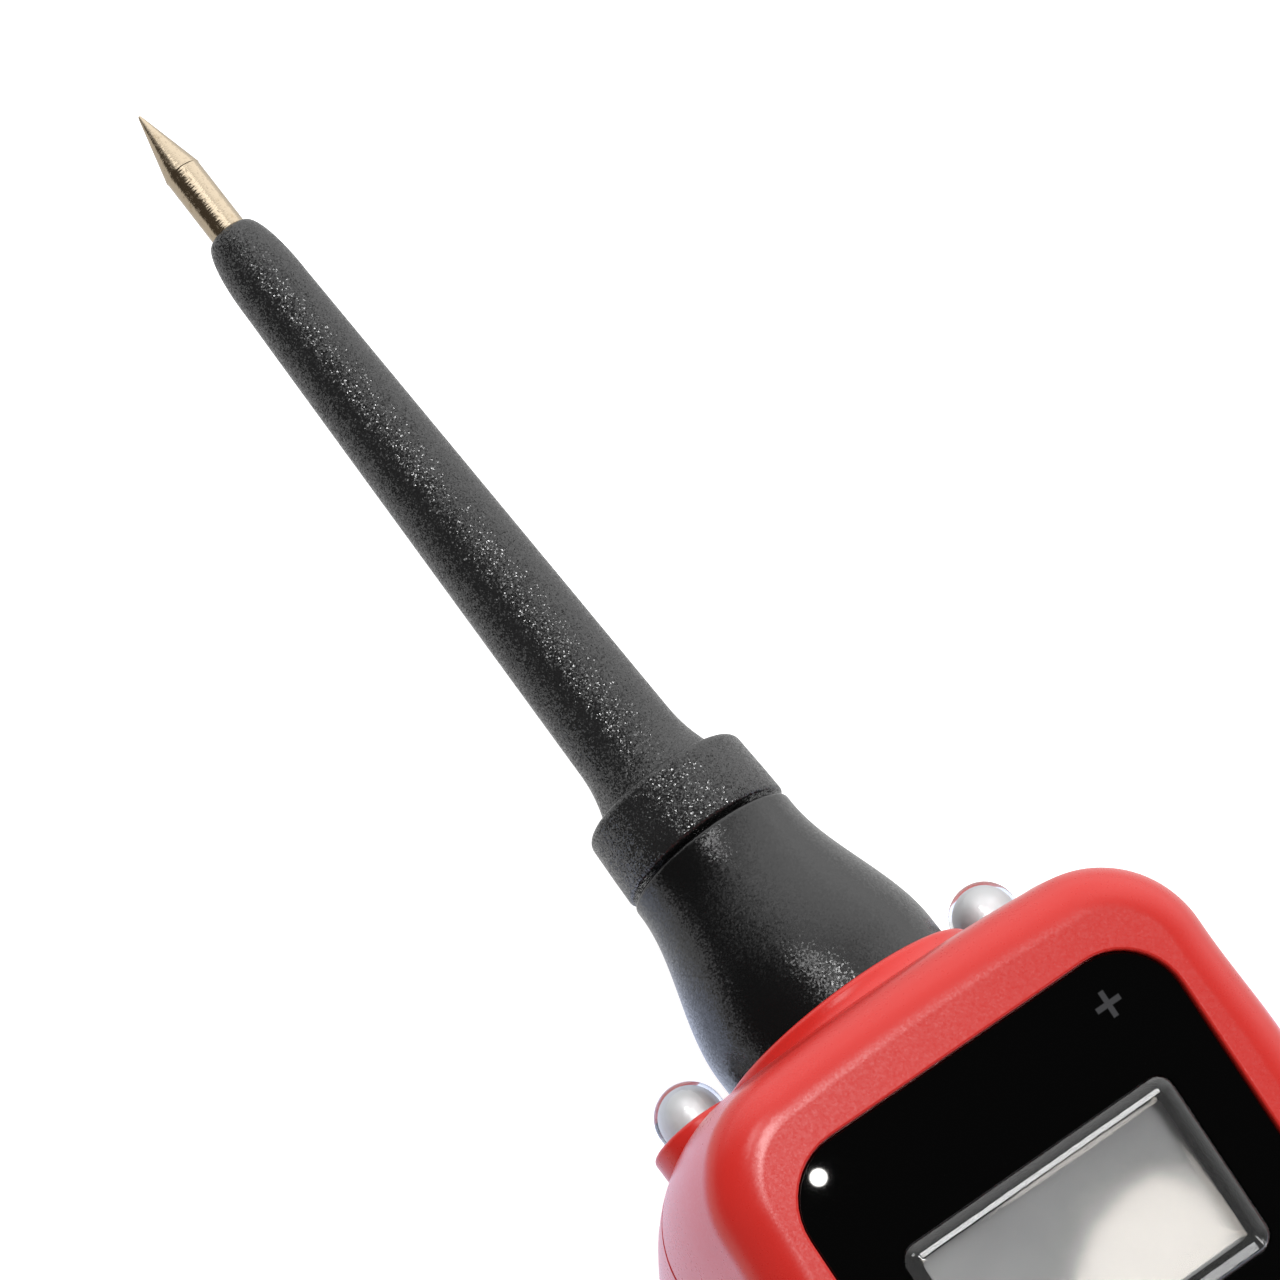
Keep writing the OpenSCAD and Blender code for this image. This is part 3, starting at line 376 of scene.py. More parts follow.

# %% [markdown]
# The tip is a hard pale bronze rod, turned on a lathe. The tool leaves rings round it, which are a
# sine of the distance along the rod, broken up by a little noise. Handling has left darker stains and
# small dull nicks. A polished rod only mirrors its surroundings, and its dark stripes mirror the dark
# sky. A faint warm glow of its own is painted light, which lifts those stripes to a brown.

# %% Turned tip
tip_metal = Finish("tip_metal", (0.66, 0.55, 0.42), 0.20, Metallic=1.0)
_, tip_y, _ = tip_metal.place()
wobble = tip_metal.noise(0.8)
rings = (tip_y * 36 + wobble * 5).sine() * 0.5 + 0.5
stains = tip_metal.noise(0.9, 4.0, 0.65).fade(0.56, 0.72)
BRONZE_CLEAN, BRONZE_STAINED, PAINTED_GLOW = (0.46, 0.385, 0.285), (0.38, 0.30, 0.20), (0.028, 0.018, 0.009)
LINES_MM = 0.16
tip_metal.set("Base Color", tip_metal.mix(stains, BRONZE_CLEAN, BRONZE_STAINED))
nicks = tip_metal.noise(LINES_MM, 1.0, 0.5, (1, 2, 1)).fade(0.60, 0.68)
tip_metal.set("Roughness", 0.14 + rings * 0.05 + stains * 0.08 + nicks * 0.30)
# Painted light: a faint warm glow over the whole rod lifts its dark mirrored stripes to a brown
tip_metal.set("Emission Color", PAINTED_GLOW)
tip_metal.set("Emission Strength", 1.0)
turning = tip_metal.noise(LINES_MM, 1.0, 0.5, (3, 1, 3))
tip_metal.bump(rings * 0.1 + turning, 0.02)
print("finish:", tip_metal.material.name)

# %% [markdown]
# Four helpers cover most shapes. `turned` spins a profile round an axis, as a lathe does. `stacked`
# extrudes a ring from place to place, as a loft does. `combined` joins and cuts them. `finished` gives
# the result its finish, rides it on a CAD body and hides the CAD pieces that it stands for.

# %% Helpers for shapes
def stacked(levels, closed=True):
    """Rings of equal count: the first is a circle, and each next one is extruded from the last."""
    shape = bmesh.new()
    verts = bmesh.ops.create_circle(shape, segments=len(levels[0]), radius=0.001)["verts"]
    edges = shape.edges[:]
    rings = []
    for places in levels:
        if rings:
            grown = bmesh.ops.extrude_edge_only(shape, edges=edges)["geom"]
            new = {item for item in grown if isinstance(item, bmesh.types.BMVert)}
            lines = [item for item in grown if isinstance(item, bmesh.types.BMEdge)]
            edges = [line for line in lines if new.issuperset(line.verts)]
            steps = [{line.other_vert(vert) for line in vert.link_edges} & new for vert in verts]
            verts = [step.pop() for step in steps]
        for vert, place in zip(verts, places):
            vert.co = place
        rings.append((verts, edges))
    if closed:
        for _, edges in (rings[0], rings[-1]):
            bmesh.ops.edgeloop_fill(shape, edges=edges)
    return shape, rings


def turned(profile, axis_place=(0, 0, 0), axis=(0, 1, 0), steps=96):
    """Spins a profile of (radius, distance along the axis) all the way round."""
    shape = bmesh.new()
    middle, line = at(*axis_place), Vector(axis)
    side = Vector((1, 0, 0)) if abs(line.x) < 0.5 else Vector((0, 0, 1))
    verts = [shape.verts.new(middle + (side * r + line * d) / 1000) for r, d in profile]
    edges = [shape.edges.new(pair) for pair in zip(verts, verts[1:])]
    bmesh.ops.spin(
        shape, geom=verts + edges, cent=middle, axis=line, dvec=(0, 0, 0),
        angle=2 * math.pi, steps=steps, use_merge=True, use_duplicate=False,
    )
    bmesh.ops.remove_doubles(shape, verts=shape.verts, dist=1e-6)
    return shape


def arc(center, radius, start, end, steps):
    """Places on an arc, for profiles: angles in degrees from the first axis."""
    turns = [math.radians(start + (end - start) * i / steps) for i in range(steps + 1)]
    return [(center[0] + radius * math.cos(a), center[1] + radius * math.sin(a)) for a in turns]


def smoothed(made, angle):
    """Smooth shading, with sharp edges past an angle in degrees."""
    made.data.shade_smooth()
    made.data.set_sharp_from_angle(angle=math.radians(angle))


def as_object(name, shape, angle=35):
    """An object from a bmesh, once its doubles are merged and its normals recalculated."""
    bmesh.ops.remove_doubles(shape, verts=shape.verts, dist=1e-7)
    bmesh.ops.recalc_face_normals(shape, faces=shape.faces)
    mesh = bpy.data.meshes.new(name)
    shape.to_mesh(mesh)
    shape.free()
    made = bpy.data.objects.new(name, mesh)
    bpy.context.scene.collection.objects.link(made)
    smoothed(made, angle)
    return made


def finished(made, finish, nodes=(), body="housing"):
    """Gives an object its finish and body, and hides the CAD nodes it stands for."""
    made.data.materials.clear()
    made.data.materials.append(finish.material)
    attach(made, body)
    if nodes:
        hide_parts(*nodes)
    print("piece:", made.name, len(made.data.polygons), "faces")


def combined(made, others, operation):
    """The object after a boolean with each of the others, which are used up."""
    for other in others:
        step = made.modifiers.new("step", "BOOLEAN")
        step.object, step.operation, step.solver = other, operation, "MANIFOLD"
        graph = bpy.context.evaluated_depsgraph_get()
        mesh = bpy.data.meshes.new_from_object(made.evaluated_get(graph))
        made.modifiers.clear()
        made.data = mesh
        bpy.data.objects.remove(other)
    return made


# %% [markdown]
# The housing's outline, seen from above, has a nearly straight front, round corners, a broad head, a
# neck that narrows to the grip, and a rounded tail. The functions below give the half width along the
# side, and the height of the display side, which slopes down from the nose and runs smoothly into the
# grip. The front wall curves back, so each ring is shifted by the square of its height.

# %% Outline and height of the housing
FRONT_Y, TAIL_Y = -0.95, -124.95
HEAD_HALF, GRIP_HALF, TAIL_HALF = 20.8, 14.5, 15.5
SWELL, ARCH, CORNER_R, TAIL_R = 0.5, 0.4, 8.6, 9.0
CORNER_X, CORNER_Y = HEAD_HALF - SWELL - CORNER_R, FRONT_Y - ARCH - CORNER_R
HEAD_END_Y, NECK_END_Y = FRONT_Y - 36, FRONT_Y - 62
TAIL_CORNER_Y = TAIL_Y + TAIL_R
ROCKER_Y = NECK_END_Y - 10
GRIP_TOP, RISE, BLEND = 8.0, math.tan(SLOPE), 0.8
LEAN, LEAN_H = 0.14, 1.1 * FACE_Z


def eased(t):
    t = max(0.0, min(1.0, t))
    return t * t * (3 - 2 * t)


def between(a, b, t):
    return a + (b - a) * t


def half_width(y):
    if y > HEAD_END_Y:
        return HEAD_HALF - SWELL * (1 - eased((CORNER_Y - y) / 10))
    if y > NECK_END_Y:
        return between(HEAD_HALF, GRIP_HALF, eased((HEAD_END_Y - y) / 26))
    return between(GRIP_HALF, TAIL_HALF, eased((NECK_END_Y - y) / (NECK_END_Y - TAIL_CORNER_Y)))


def lean_at(y):
    return LEAN * eased((y - HEAD_END_Y + 8) / (CORNER_Y - HEAD_END_Y + 8))


def top_z(y):
    plane = FACE_Z + RISE * (y - FACE_Y)
    plane *= 2 / (1 + math.sqrt(1 + 4 * plane * RISE * lean_at(y) / LEAN_H))
    drop = 1.2 * eased((ROCKER_Y - 13 - y) / (ROCKER_Y - 13 - TAIL_Y))
    return GRIP_TOP + BLEND * math.log1p(math.exp((plane - GRIP_TOP) / BLEND)) - drop


half_outline = [(i / 10 * CORNER_X, FRONT_Y - ARCH * (i / 10) ** 2) for i in range(10)]
half_outline += arc((CORNER_X, CORNER_Y), CORNER_R, 90, 0, 24)
side_ys = [between(CORNER_Y, TAIL_CORNER_Y, i / 100) for i in range(1, 100)]
half_outline += [(half_width(y), y) for y in side_ys]
half_outline += arc((TAIL_HALF - TAIL_R, TAIL_CORNER_Y), TAIL_R, 0, -90, 20)
half_outline += [(0.0, TAIL_Y)]
outline = [Vector(p) for p in half_outline]
outline += [Vector((-p.x, p.y)) for p in outline[-2:0:-1]]
count = len(outline)
inward = []
for i in range(count):
    along = outline[(i + 1) % count] - outline[i - 1]
    inward.append(Vector((along.y, -along.x)).normalized())
print("outline of", count, "places")


def housing_ring(inset, share, offset):
    """The outline moved in by inset, at a share of the top's height plus an offset."""
    places = []
    for spot, turn in zip(outline, inward):
        x, y = spot + turn * inset
        z = share * top_z(y) + offset
        places.append(at(x, y - lean_at(y) * max(z, 0) ** 2 / LEAN_H, z))
    return places


# %% [markdown]
# Each shell is one loft from the middle of its outside, round its edge, down the wall, over the
# joint and back along the inside. Its two wide ends would each be one great face, so they are cut
# into strips from side to side, which follow the slope. The outside alone is also kept as a fair
# surface: after openings are cut, its normals are laid on the shell again, so the cuts leave no marks
# in the reflections. Slivers have no sure normal and are left out.

# %% Loft of a shell
SLIVER, NO_TURN = 1e-11, 1e-12
TOUCHING, SAME_WAY = 4e-6, 0.93


def ribbed(shape, ring):
    """Cuts the face that fills a ring into strips from side to side."""
    verts, edges = ring
    bmesh.ops.edgeloop_fill(shape, edges=edges)
    for i in range(1, count // 2):
        bmesh.ops.connect_verts(shape, verts=[verts[i], verts[count - i]])


def shell_loft(levels):
    """A closed shell through housing rings, one for each (inset, share, offset)."""
    shape, rings = stacked([housing_ring(*level) for level in levels], closed=False)
    ribbed(shape, rings[0])
    ribbed(shape, rings[-1])
    return shape


def fair_surface(levels, flat_end):
    """The uncut outside and its normals. Its flat side fills the ring numbered flat_end."""
    shape, rings = stacked([housing_ring(*level) for level in levels], closed=False)
    ribbed(shape, rings[flat_end])
    bmesh.ops.recalc_face_normals(shape, faces=shape.faces)
    flat = set(rings[flat_end][0])
    caps = {face for vert in flat for face in vert.link_faces if all(v in flat for v in face.verts)}
    outward = 1 if flat_end == 0 else -1
    if sum(face.normal.z * face.calc_area() for face in caps) * outward < 0:
        bmesh.ops.reverse_faces(shape, faces=shape.faces)
    shape.normal_update()
    for vert in flat:
        sound = [face for face in vert.link_faces if face in caps and face.normal.z * outward > 0]
        normals = [face.normal * face.calc_area() for face in sound]
        vert.normal = sum(normals, Vector((0, 0, outward * NO_TURN))).normalized()
    kept = [vert.normal.copy() for vert in shape.verts]
    shape.verts.index_update()
    bmesh.ops.triangulate(shape, faces=shape.faces)
    places = [vert.co.copy() for vert in shape.verts]
    wide = [face for face in shape.faces if face.calc_area() > SLIVER]
    triangles = [[vert.index for vert in face.verts] for face in wide]
    shape.free()
    return BVHTree.FromPolygons(places, triangles), places, triangles, kept


def lay_fair(made, surface):
    """Lays the fair surface's normals on every corner of the shell that lies on it."""
    tree, places, triangles, normals = surface
    mesh = made.data
    smoothed(made, 30)
    corners = [corner.vector.copy() for corner in mesh.corner_normals]
    laid = 0
    for face in mesh.polygons:
        for corner in face.loop_indices:
            spot = mesh.vertices[mesh.loops[corner].vertex_index].co
            near, flat, index, gap = tree.find_nearest(spot)
            if gap < TOUCHING and flat.dot(face.normal) > SAME_WAY:
                points = [places[i] for i in triangles[index]]
                turns = [normals[i] for i in triangles[index]]
                corners[corner] = barycentric_transform(near, *points, *turns).normalized()
                laid += 1
    mesh.normals_split_custom_set(corners)
    print("fair normals on", laid, "of", len(corners), "corners of", made.name)


# %% [markdown]
# Most of what a user sees is set into the sloping face, so one function turns a place on that face
# into the frame's own. The openings are rounded rectangles, cut by stacks of rings. Where an edge
# shows, the stack flares at its mouth, which gives the opening a small rounded edge.

# %% Cutters on the sloping face
LEAST_CORNER = 0.15


def on_face(u, s, h):
    """A place u across the face, s down its slope and h above it."""
    y = FACE_Y - s * math.cos(SLOPE) - h * math.sin(SLOPE)
    return at(u, y, FACE_Z - s * math.sin(SLOPE) + h * math.cos(SLOPE))


def rounded(width, length, radius, steps=10):
    """A rounded rectangle round the origin."""
    x, y = width / 2 - radius, length / 2 - radius
    places = []
    for cx, cy, start in ((x, y, 0), (-x, y, 90), (-x, -y, 180), (x, -y, 270)):
        places += arc((cx, cy), radius, start, start + 90, steps)
    return places


def mouth(bottom, edge):
    """Heights and growth of a cutter whose mouth at height 0 is rounded by edge."""
    turns = [math.pi / 2 * i / 4 for i in range(5)]
    curve = [(-edge + edge * math.sin(a), edge * (1 - math.cos(a))) for a in turns]
    return [(bottom, 0.0)] + curve + [(1.5, edge + 0.001)]


def slab(name, placed, size, heights, angle=35):
    """A rounded slab of that width, length and corner radius, with a ring for each (height, growth)."""
    width, length, radius = size
    levels = []
    for h, g in heights:
        ring = rounded(width + 2 * g, length + 2 * g, max(radius + g, LEAST_CORNER))
        levels.append([placed(x, y, h) for x, y in ring])
    return as_object(name, stacked(levels)[0], angle)


def face_slab(name, size, middle_s, heights, angle=35):
    """A slab on the sloping face."""
    return slab(name, lambda u, v, h: on_face(u, middle_s - v, h), size, heights, angle)


def upright_slab(name, size, middle_y, heights):
    """A slab upright on the grip. Heights are counted from the probe's axis."""
    return slab(name, lambda x, y, h: at(x, middle_y + y, h), size, heights)


def bore(name, radius, start, end, place=(0, 0, 0), axis=(0, 1, 0), steps=72):
    profile = [(0, start), (radius, start), (radius, end), (0, end)]
    return as_object(name, turned(profile, place, axis, steps))


# %% [markdown]
# The nose is held in a round boss on the front wall, and the headlights sit in two smaller pockets
# beside it. They cross the joint, so they are turned whole, and a large block then keeps the half
# that a shell needs. The same bores are cut into both shells.

# %% Nose boss and headlight pockets
LAMP_X, BOSS_R, FLANGE_R, SEAT_Y = 12.6, 10.5, 10.3, -3.3
FLANGE_Y, RIB_Y = SEAT_Y - 1.5, SEAT_Y - 2.9
BOSS_ROOT, BOSS_EDGE, POCKET_R, POCKET_EDGE = 1.6, 0.5, 3.8, 0.35
LAMP_R, LAMP_RIM_R, INLET_Z, BLOCK = 2.5, 2.9, -2.5, 60


def kept_half(made, above):
    """The part of an object above or below the joint."""
    block = bmesh.new()
    bmesh.ops.create_cube(block, size=BLOCK / 1000)
    bmesh.ops.translate(block, vec=at(0, 0, BLOCK / 2 if above else -BLOCK / 2), verts=block.verts)
    return combined(made, [as_object("half", block)], "INTERSECT")


def front_bosses(above):
    """The nose boss, which widens at its root, and the two headlight pockets."""
    root = BOSS_R + BOSS_ROOT
    boss = [(0, RIB_Y), (root, RIB_Y)] + arc((root, -1.2), BOSS_ROOT, 270, 180, 10)
    boss += arc((BOSS_R - BOSS_EDGE, -1.12), BOSS_EDGE, 0, 90, 8) + [(0, -0.62)]
    made = [kept_half(as_object("boss", turned(boss, steps=128)), above)]
    edge = arc((POCKET_R - POCKET_EDGE, -1.25), POCKET_EDGE, 0, 90, 5)
    pocket = [(0, -5.7), (POCKET_R, -5.7)] + edge + [(0, -0.9)]
    for side in (-1, 1):
        place = (side * LAMP_X, 0, 0)
        made.append(kept_half(as_object("pocket", turned(pocket, place)), above))
    return made


def flats(half):
    """The space between two flats beside the probe's axis, which keep the nose from turning."""
    block = bmesh.new()
    bmesh.ops.create_cube(block, size=0.001)
    bmesh.ops.scale(block, vec=(2 * half, BLOCK, BLOCK), verts=block.verts)
    bmesh.ops.translate(block, vec=at(0, 0, 0), verts=block.verts)
    return as_object("flats", block)


def front_bores():
    """The bores for the nose with its flange and for the headlights with their rims."""
    groove = bore("flange_groove", FLANGE_R + 0.1, FLANGE_Y - 0.1, SEAT_Y, steps=128)
    made = [
        bore("nose_bore", 9.25, SEAT_Y - 0.2, 5, steps=128),
        combined(groove, [flats(9.3)], "INTERSECT"),
        bore("rear_bore", 8.3, FLANGE_Y - 3, FLANGE_Y),
    ]
    rim, body, flare = LAMP_RIM_R + 0.1, LAMP_R + 0.1, LAMP_R + 0.35
    lamp = [(0, -8.1), (rim, -8.1), (rim, -6.0), (body, -6.0), (body, -1.15), (flare, -0.85)]
    lamp += [(flare, 5), (0, 5)]
    for side in (-1, 1):
        made.append(as_object("lamp_bore", turned(lamp, (side * LAMP_X, 0, 0))))
    return made


def inlet_hole():
    """The hole in the tail wall that the rubber inlet grips."""
    return bore("inlet_hole", 4.6, TAIL_Y - 1, TAIL_Y + 5, (0, 0, INLET_Z))


# %% [markdown]
# The front shell's edge is rounded, and its wall bows out a little and ends in a narrow groove at the
# joint. A lip inside the groove meets the back shell. Shapes are then joined and cut as the toolmaker
# would: the boss, the pockets and a low rim for the rocker are added, and the overlay's recess, the
# window, the rocker's opening and the bores are cut in.

# %% Front shell
def quarter(radius, steps):
    """(inset, drop) round a quarter of an edge, from the flat outwards."""
    turns = [math.pi / 2 * (1 - i / steps) for i in range(steps + 1)]
    return [(radius * (1 - math.cos(a)), radius * (1 - math.sin(a))) for a in turns]


BULGE, TOP_R, BACK_R, WALL, WALL_TOP, LIP, GROOVE = 0.5, 3.4, 5.0, 2.0, 2.4, 1.0, 0.25
INNER = WALL + BULGE
inner_edge = [(2.2, 0), (0.3, 1.1), (0, 2.2)]
wall_shares = [k / 6 for k in range(1, 6)]
front_outside = [(BULGE + i, 1, -d) for i, d in quarter(TOP_R, 12)]
front_outside += [(BULGE * f * f, f, GROOVE * (1 - f) - f * TOP_R) for f in reversed(wall_shares)]
front_outside += [(0, 0, GROOVE)]
front_inside = [(GROOVE, 0, 0), (WALL / 2, 0, 0), (WALL / 2, 0, -LIP), (WALL, 0, -LIP)]
front_inside += [(INNER + i, 1, -WALL_TOP - d) for i, d in reversed(inner_edge)]

# Width, length and corner radius of each slab, then how far down the face its middle is
RECESS, WINDOW_HOLE = (30.9, 27.2, 4.9), (23.1, 14.4, 1.7)
ROCKER_RIM, ROCKER_HOLE = (17, 25, 3.5), (12.6, 20.1, 0.6)
OVERLAY_S, WINDOW_S = 13.5, 15.4

front = as_object("housing_front", shell_loft(front_outside + front_inside))
rim_flare = [(6.8, 0), (8.35, 0), (8.55, -0.06), (8.66, -0.2), (8.7, -0.4)]
hole_flare = [(2.0, 0), (8.4, 0), (8.6, 0.12), (8.72, 0.35), (12, 0.4)]
rocker_rim = upright_slab("rocker_rim", ROCKER_RIM, ROCKER_Y, rim_flare)
front = combined(front, front_bosses(True) + [rocker_rim], "UNION")
front_cuts = front_bores() + [
    face_slab("overlay_recess", RECESS, OVERLAY_S, mouth(-1.4, 0.22)),
    face_slab("window_hole", WINDOW_HOLE, WINDOW_S, [(-6, 0), (-1, 0)]),
    upright_slab("rocker_hole", ROCKER_HOLE, ROCKER_Y, hole_flare),
    inlet_hole(),
]
for side in (-1, 1):
    front_cuts.append(bore("pipe_hole", 1.6, 10, 20, (side * SIGN_X, -12.5, 0), (0, 0, 1), 32))
front = combined(front, front_cuts, "DIFFERENCE")
lay_fair(front, fair_surface(front_outside, 0))
finished(front, red, ["front_shell"])

# %% [markdown]
# The back shell is made in the same way, from its inside over the joint and down to the flat that the
# tester lies on. It gets four deep screw seats, and five slots that let the buzzer be heard.

# %% Back shell
SCREW_ROWS = [(12.2, HEAD_END_Y - 1.5), (6.9, TAIL_Y + 11)]
SCREWS = [(side * x, y) for x, y in SCREW_ROWS for side in (1, -1)]
TUBE_R, HEAD_R, SHANK_R, HEAD_Z = 3.4, 2.5, 1.35, -6.5
BUZZER_Y, SLOT_STEP = NECK_END_Y + 12, 2.2
SLOT = (8, 1, 0.495)

back_inside = [(INNER + i, 0, -BACK_DEPTH + WALL + d) for i, d in inner_edge] + [(WALL, 0, -LIP - 0.1)]
back_inside += [(WALL / 2 - 0.1, 0, -LIP - 0.1), (WALL / 2 - 0.1, 0, 0), (GROOVE, 0, 0)]
back_outside = [(0, 0, -GROOVE)]
straight = BACK_DEPTH - BACK_R
back_outside += [(BULGE * f * f, 0, -f * straight - GROOVE * (1 - f)) for f in wall_shares]
back_outside += [(BULGE + i, 0, -BACK_DEPTH + d) for i, d in reversed(quarter(BACK_R, 12))]

back = as_object("housing_back", shell_loft(back_inside + back_outside))
tubes = [bore("screw_tube", TUBE_R, -12, 0, (x, y, 0), (0, 0, 1), 48) for x, y in SCREWS]
back = combined(back, front_bosses(False) + tubes, "UNION")
back_cuts = front_bores() + [inlet_hole()]
seat = [(0, -15), (HEAD_R + 0.4, -15), (HEAD_R + 0.4, -13.4), (HEAD_R, -13.0), (HEAD_R, HEAD_Z)]
seat += [(SHANK_R, HEAD_Z), (SHANK_R, 1), (0, 1)]
for x, y in SCREWS:
    back_cuts.append(as_object("screw_seat", turned(seat, (x, y, 0), (0, 0, 1), 64)))
slot_flare = [(-15, 0.25), (-13.5, 0.2), (-13.3, 0), (-10, 0)]
for i in range(-2, 3):
    back_cuts.append(upright_slab("sound_slot", SLOT, BUZZER_Y + i * SLOT_STEP, slot_flare))
back = combined(back, back_cuts, "DIFFERENCE")
lay_fair(back, fair_surface(back_outside, len(back_outside) - 1))
finished(back, red, ["back_shell"])

# %% [markdown]
# The overlay is a flat plate with a fine chamfer round its top edge, and the window is a thicker
# plate with a wide bevel that stands a little above it. Both are slabs of many rings. The window's top
# bulges by a hundredth of a millimetre, and a thin black border behind its bevel is its own piece.

# %% Overlay and window
OVERLAY, OPENING = (30.7, 27, 4.8), (22.3, 13.6, 1.3)
WINDOW, BORDER, VIEW = (22.1, 13.4, 1.2), (22.0, 13.3, 1.1), (19.6, 10.9, 0.5)

chamfer = [(-1.3, 0), (-0.52, 0), (-0.44, -0.04), (-0.4, -0.12)]
overlay = face_slab("display_overlay", OVERLAY, OVERLAY_S, chamfer)
opening = face_slab("overlay_opening", OPENING, WINDOW_S, [(-2, 0), (0.5, 0)])
overlay = combined(overlay, [opening], "DIFFERENCE")
smoothed(overlay, 20)
finished(overlay, gloss, ["face_overlay"])

dome = [(-0.01 * ((6.1 + g) / 5.5) ** 2, g) for g in (-1.05, -1.6, -2.4, -3.4, -4.5, -5.6)]
window_levels = [(-1.3, 0), (-0.40, 0), (-0.34, -0.05), (-0.09, -0.56), (-0.02, -0.98)] + dome
window = face_slab("window_lens", WINDOW, WINDOW_S, window_levels, angle=28)
finished(window, window_clear, ["display_window"])

# A thin black sheet behind the window's bevel, which darkens the bevel
border = face_slab("window_border", BORDER, WINDOW_S, [(-1.37, 0), (-1.32, 0)])
view = face_slab("view", VIEW, WINDOW_S, [(-2, 0), (0, 0)])
border = combined(border, [view], "DIFFERENCE")
finished(border, bevel_darkening_black)

# %% [markdown]
# The nose cone, the sleeve and the tip are turned shapes, so each is one profile. The nose swells
# toward its root. Its flange sits in a groove, and two flats on it keep it from turning.

# %% Nose cone
NOSE_END, NOSE_TIP_R, NOSE_ROOT_R, NOSE_BORE_R, NOSE_EDGE = 14.6, 6.5, 9.1, 4.35, 0.35


def nose_radius(y):
    return between(NOSE_TIP_R, NOSE_ROOT_R, eased((NOSE_END - 0.6 - y) / (NOSE_END - 2.1)))


profile = [(NOSE_BORE_R, FLANGE_Y), (FLANGE_R, FLANGE_Y), (FLANGE_R, SEAT_Y - 0.1)]
profile += [(NOSE_ROOT_R, SEAT_Y - 0.1)]
profile += [(nose_radius(y), y) for y in [1.0 + 13.2 * i / 40 for i in range(41)]]
profile += arc((NOSE_TIP_R - NOSE_EDGE, NOSE_END - NOSE_EDGE), NOSE_EDGE, 0, 90, 5)
profile += [(NOSE_BORE_R, NOSE_END), (NOSE_BORE_R, FLANGE_Y)]
nose = as_object("nose_moulding", turned(profile, steps=128))
nose = combined(nose, [flats(9.2)], "INTERSECT")
smoothed(nose, 30)
finished(nose, nose_black, ["nose_cone"])

# %% [markdown]
# The sleeve has a spigot in the nose and a rounded collar. It flares out of the collar, tapers slowly
# and ends in a long rounding, a quarter of an ellipse.

# %% Sleeve with its collar
COLLAR_Y, COLLAR_END, SLEEVE_END, ROUND = 14.95, 20.25, 71.65, 5.65
ROD_HOLE_R, SPIGOT_R, SLEEVE_R, SLEEVE_THIN_R, SLEEVE_END_R = 1.15, 4.3, 3.95, 2.7, 1.525
FLARE_LENGTH, FLARE_R = 4.2, 0.8
ROUND_Y, SPIGOT_Y = SLEEVE_END - ROUND, COLLAR_Y - 6.5


def sleeve_radius(y):
    return between(SLEEVE_R, SLEEVE_THIN_R, (y - COLLAR_END) / (ROUND_Y - COLLAR_END))


profile = [(ROD_HOLE_R, SPIGOT_Y), (SPIGOT_R - 0.3, SPIGOT_Y), (SPIGOT_R, SPIGOT_Y + 0.4)]
profile += [(SPIGOT_R, COLLAR_Y)] + arc((6.25, COLLAR_Y + 0.25), 0.25, -90, 0, 4)
profile += [(6.44, COLLAR_Y + 2.0), (6.34, COLLAR_END - 1.2)]
profile += arc((5.62, COLLAR_END - 0.7), 0.7, 5, 86, 8) + [(5.0, COLLAR_END + 0.02)]
for i in range(13):
    reach = FLARE_LENGTH * i / 12
    flare = FLARE_R * (1 - reach / FLARE_LENGTH) ** 2
    profile.append((sleeve_radius(COLLAR_END + reach) + flare, COLLAR_END + 0.03 + reach))
profile += [(sleeve_radius(y), y) for y in range(25, 66, 5)]
round_in = arc((SLEEVE_END_R, 0), SLEEVE_THIN_R - SLEEVE_END_R, 0, 90, 18)
round_out = arc((0, ROUND_Y), ROUND, 0, 90, 18)
profile += [(r, y) for (r, _), (_, y) in zip(round_in, round_out)]
profile += [(ROD_HOLE_R, SLEEVE_END), (ROD_HOLE_R, SPIGOT_Y)]
sleeve = as_object("probe_sleeve_moulding", turned(profile, steps=112), 30)
finished(sleeve, sleeve_black, ["probe_sleeve"])

# %% [markdown]
# The tip is one rod that runs back through the sleeve. Its shoulder is seated on the sleeve's end, and
# a tiny raised edge marks where its cone begins.

# %% Pointed tip
ROD_R, TIP_R, CONE_Y = 1.1, 1.375, 77.5
profile = [(0, -9), (ROD_R, -9), (ROD_R, SLEEVE_END), (1.3, SLEEVE_END), (TIP_R, SLEEVE_END + 0.1)]
profile += [(TIP_R, CONE_Y - 0.06), (1.41, CONE_Y), (1.40, CONE_Y + 0.08), (0.16, TIP_Y - 0.25)]
profile += [(0.1, TIP_Y - 0.08), (0.0, TIP_Y)]
tip = as_object("turned_tip", turned(profile, steps=96), 30)
finished(tip, tip_metal, ["probe_tip"])

# %% [markdown]
# A headlight is a clear dome over a pale domed lamp body on two tinned legs. The clear part is one
# turned shape with a rim at its rear. The rest are separate small pieces, which the dome magnifies.

# %% Headlights
CORE_R, LEG, LEG_EDGE, LEG_Y = 1.5, Vector((0.5, 5.6, 0.5)), 0.06, -7.3
lamp_profile = [(0, -7.1), (LAMP_RIM_R, -7.1), (LAMP_RIM_R, -6.1), (LAMP_R, -6.1)]
lamp_profile += arc((0, 0), LAMP_R, 0, 84, 21) + [(0, LAMP_R)]
core_profile = [(0, -4.6), (1.3, -4.6), (CORE_R, -3.2)] + arc((0, 0), CORE_R, 0, 84, 14) + [(0, CORE_R)]


def lamp_leg(name, x, z):
    """A thin square leg with blunted edges."""
    leg = bmesh.new()
    bmesh.ops.create_cube(leg, size=1)
    bmesh.ops.scale(leg, vec=LEG / 1000, verts=leg.verts)
    bmesh.ops.bevel(
        leg, geom=leg.edges[:], offset=LEG_EDGE / 1000, affect="EDGES", segments=2, profile=0.5, material=-1
    )
    bmesh.ops.translate(leg, vec=at(x, LEG_Y, z), verts=leg.verts)
    return as_object(name, leg)


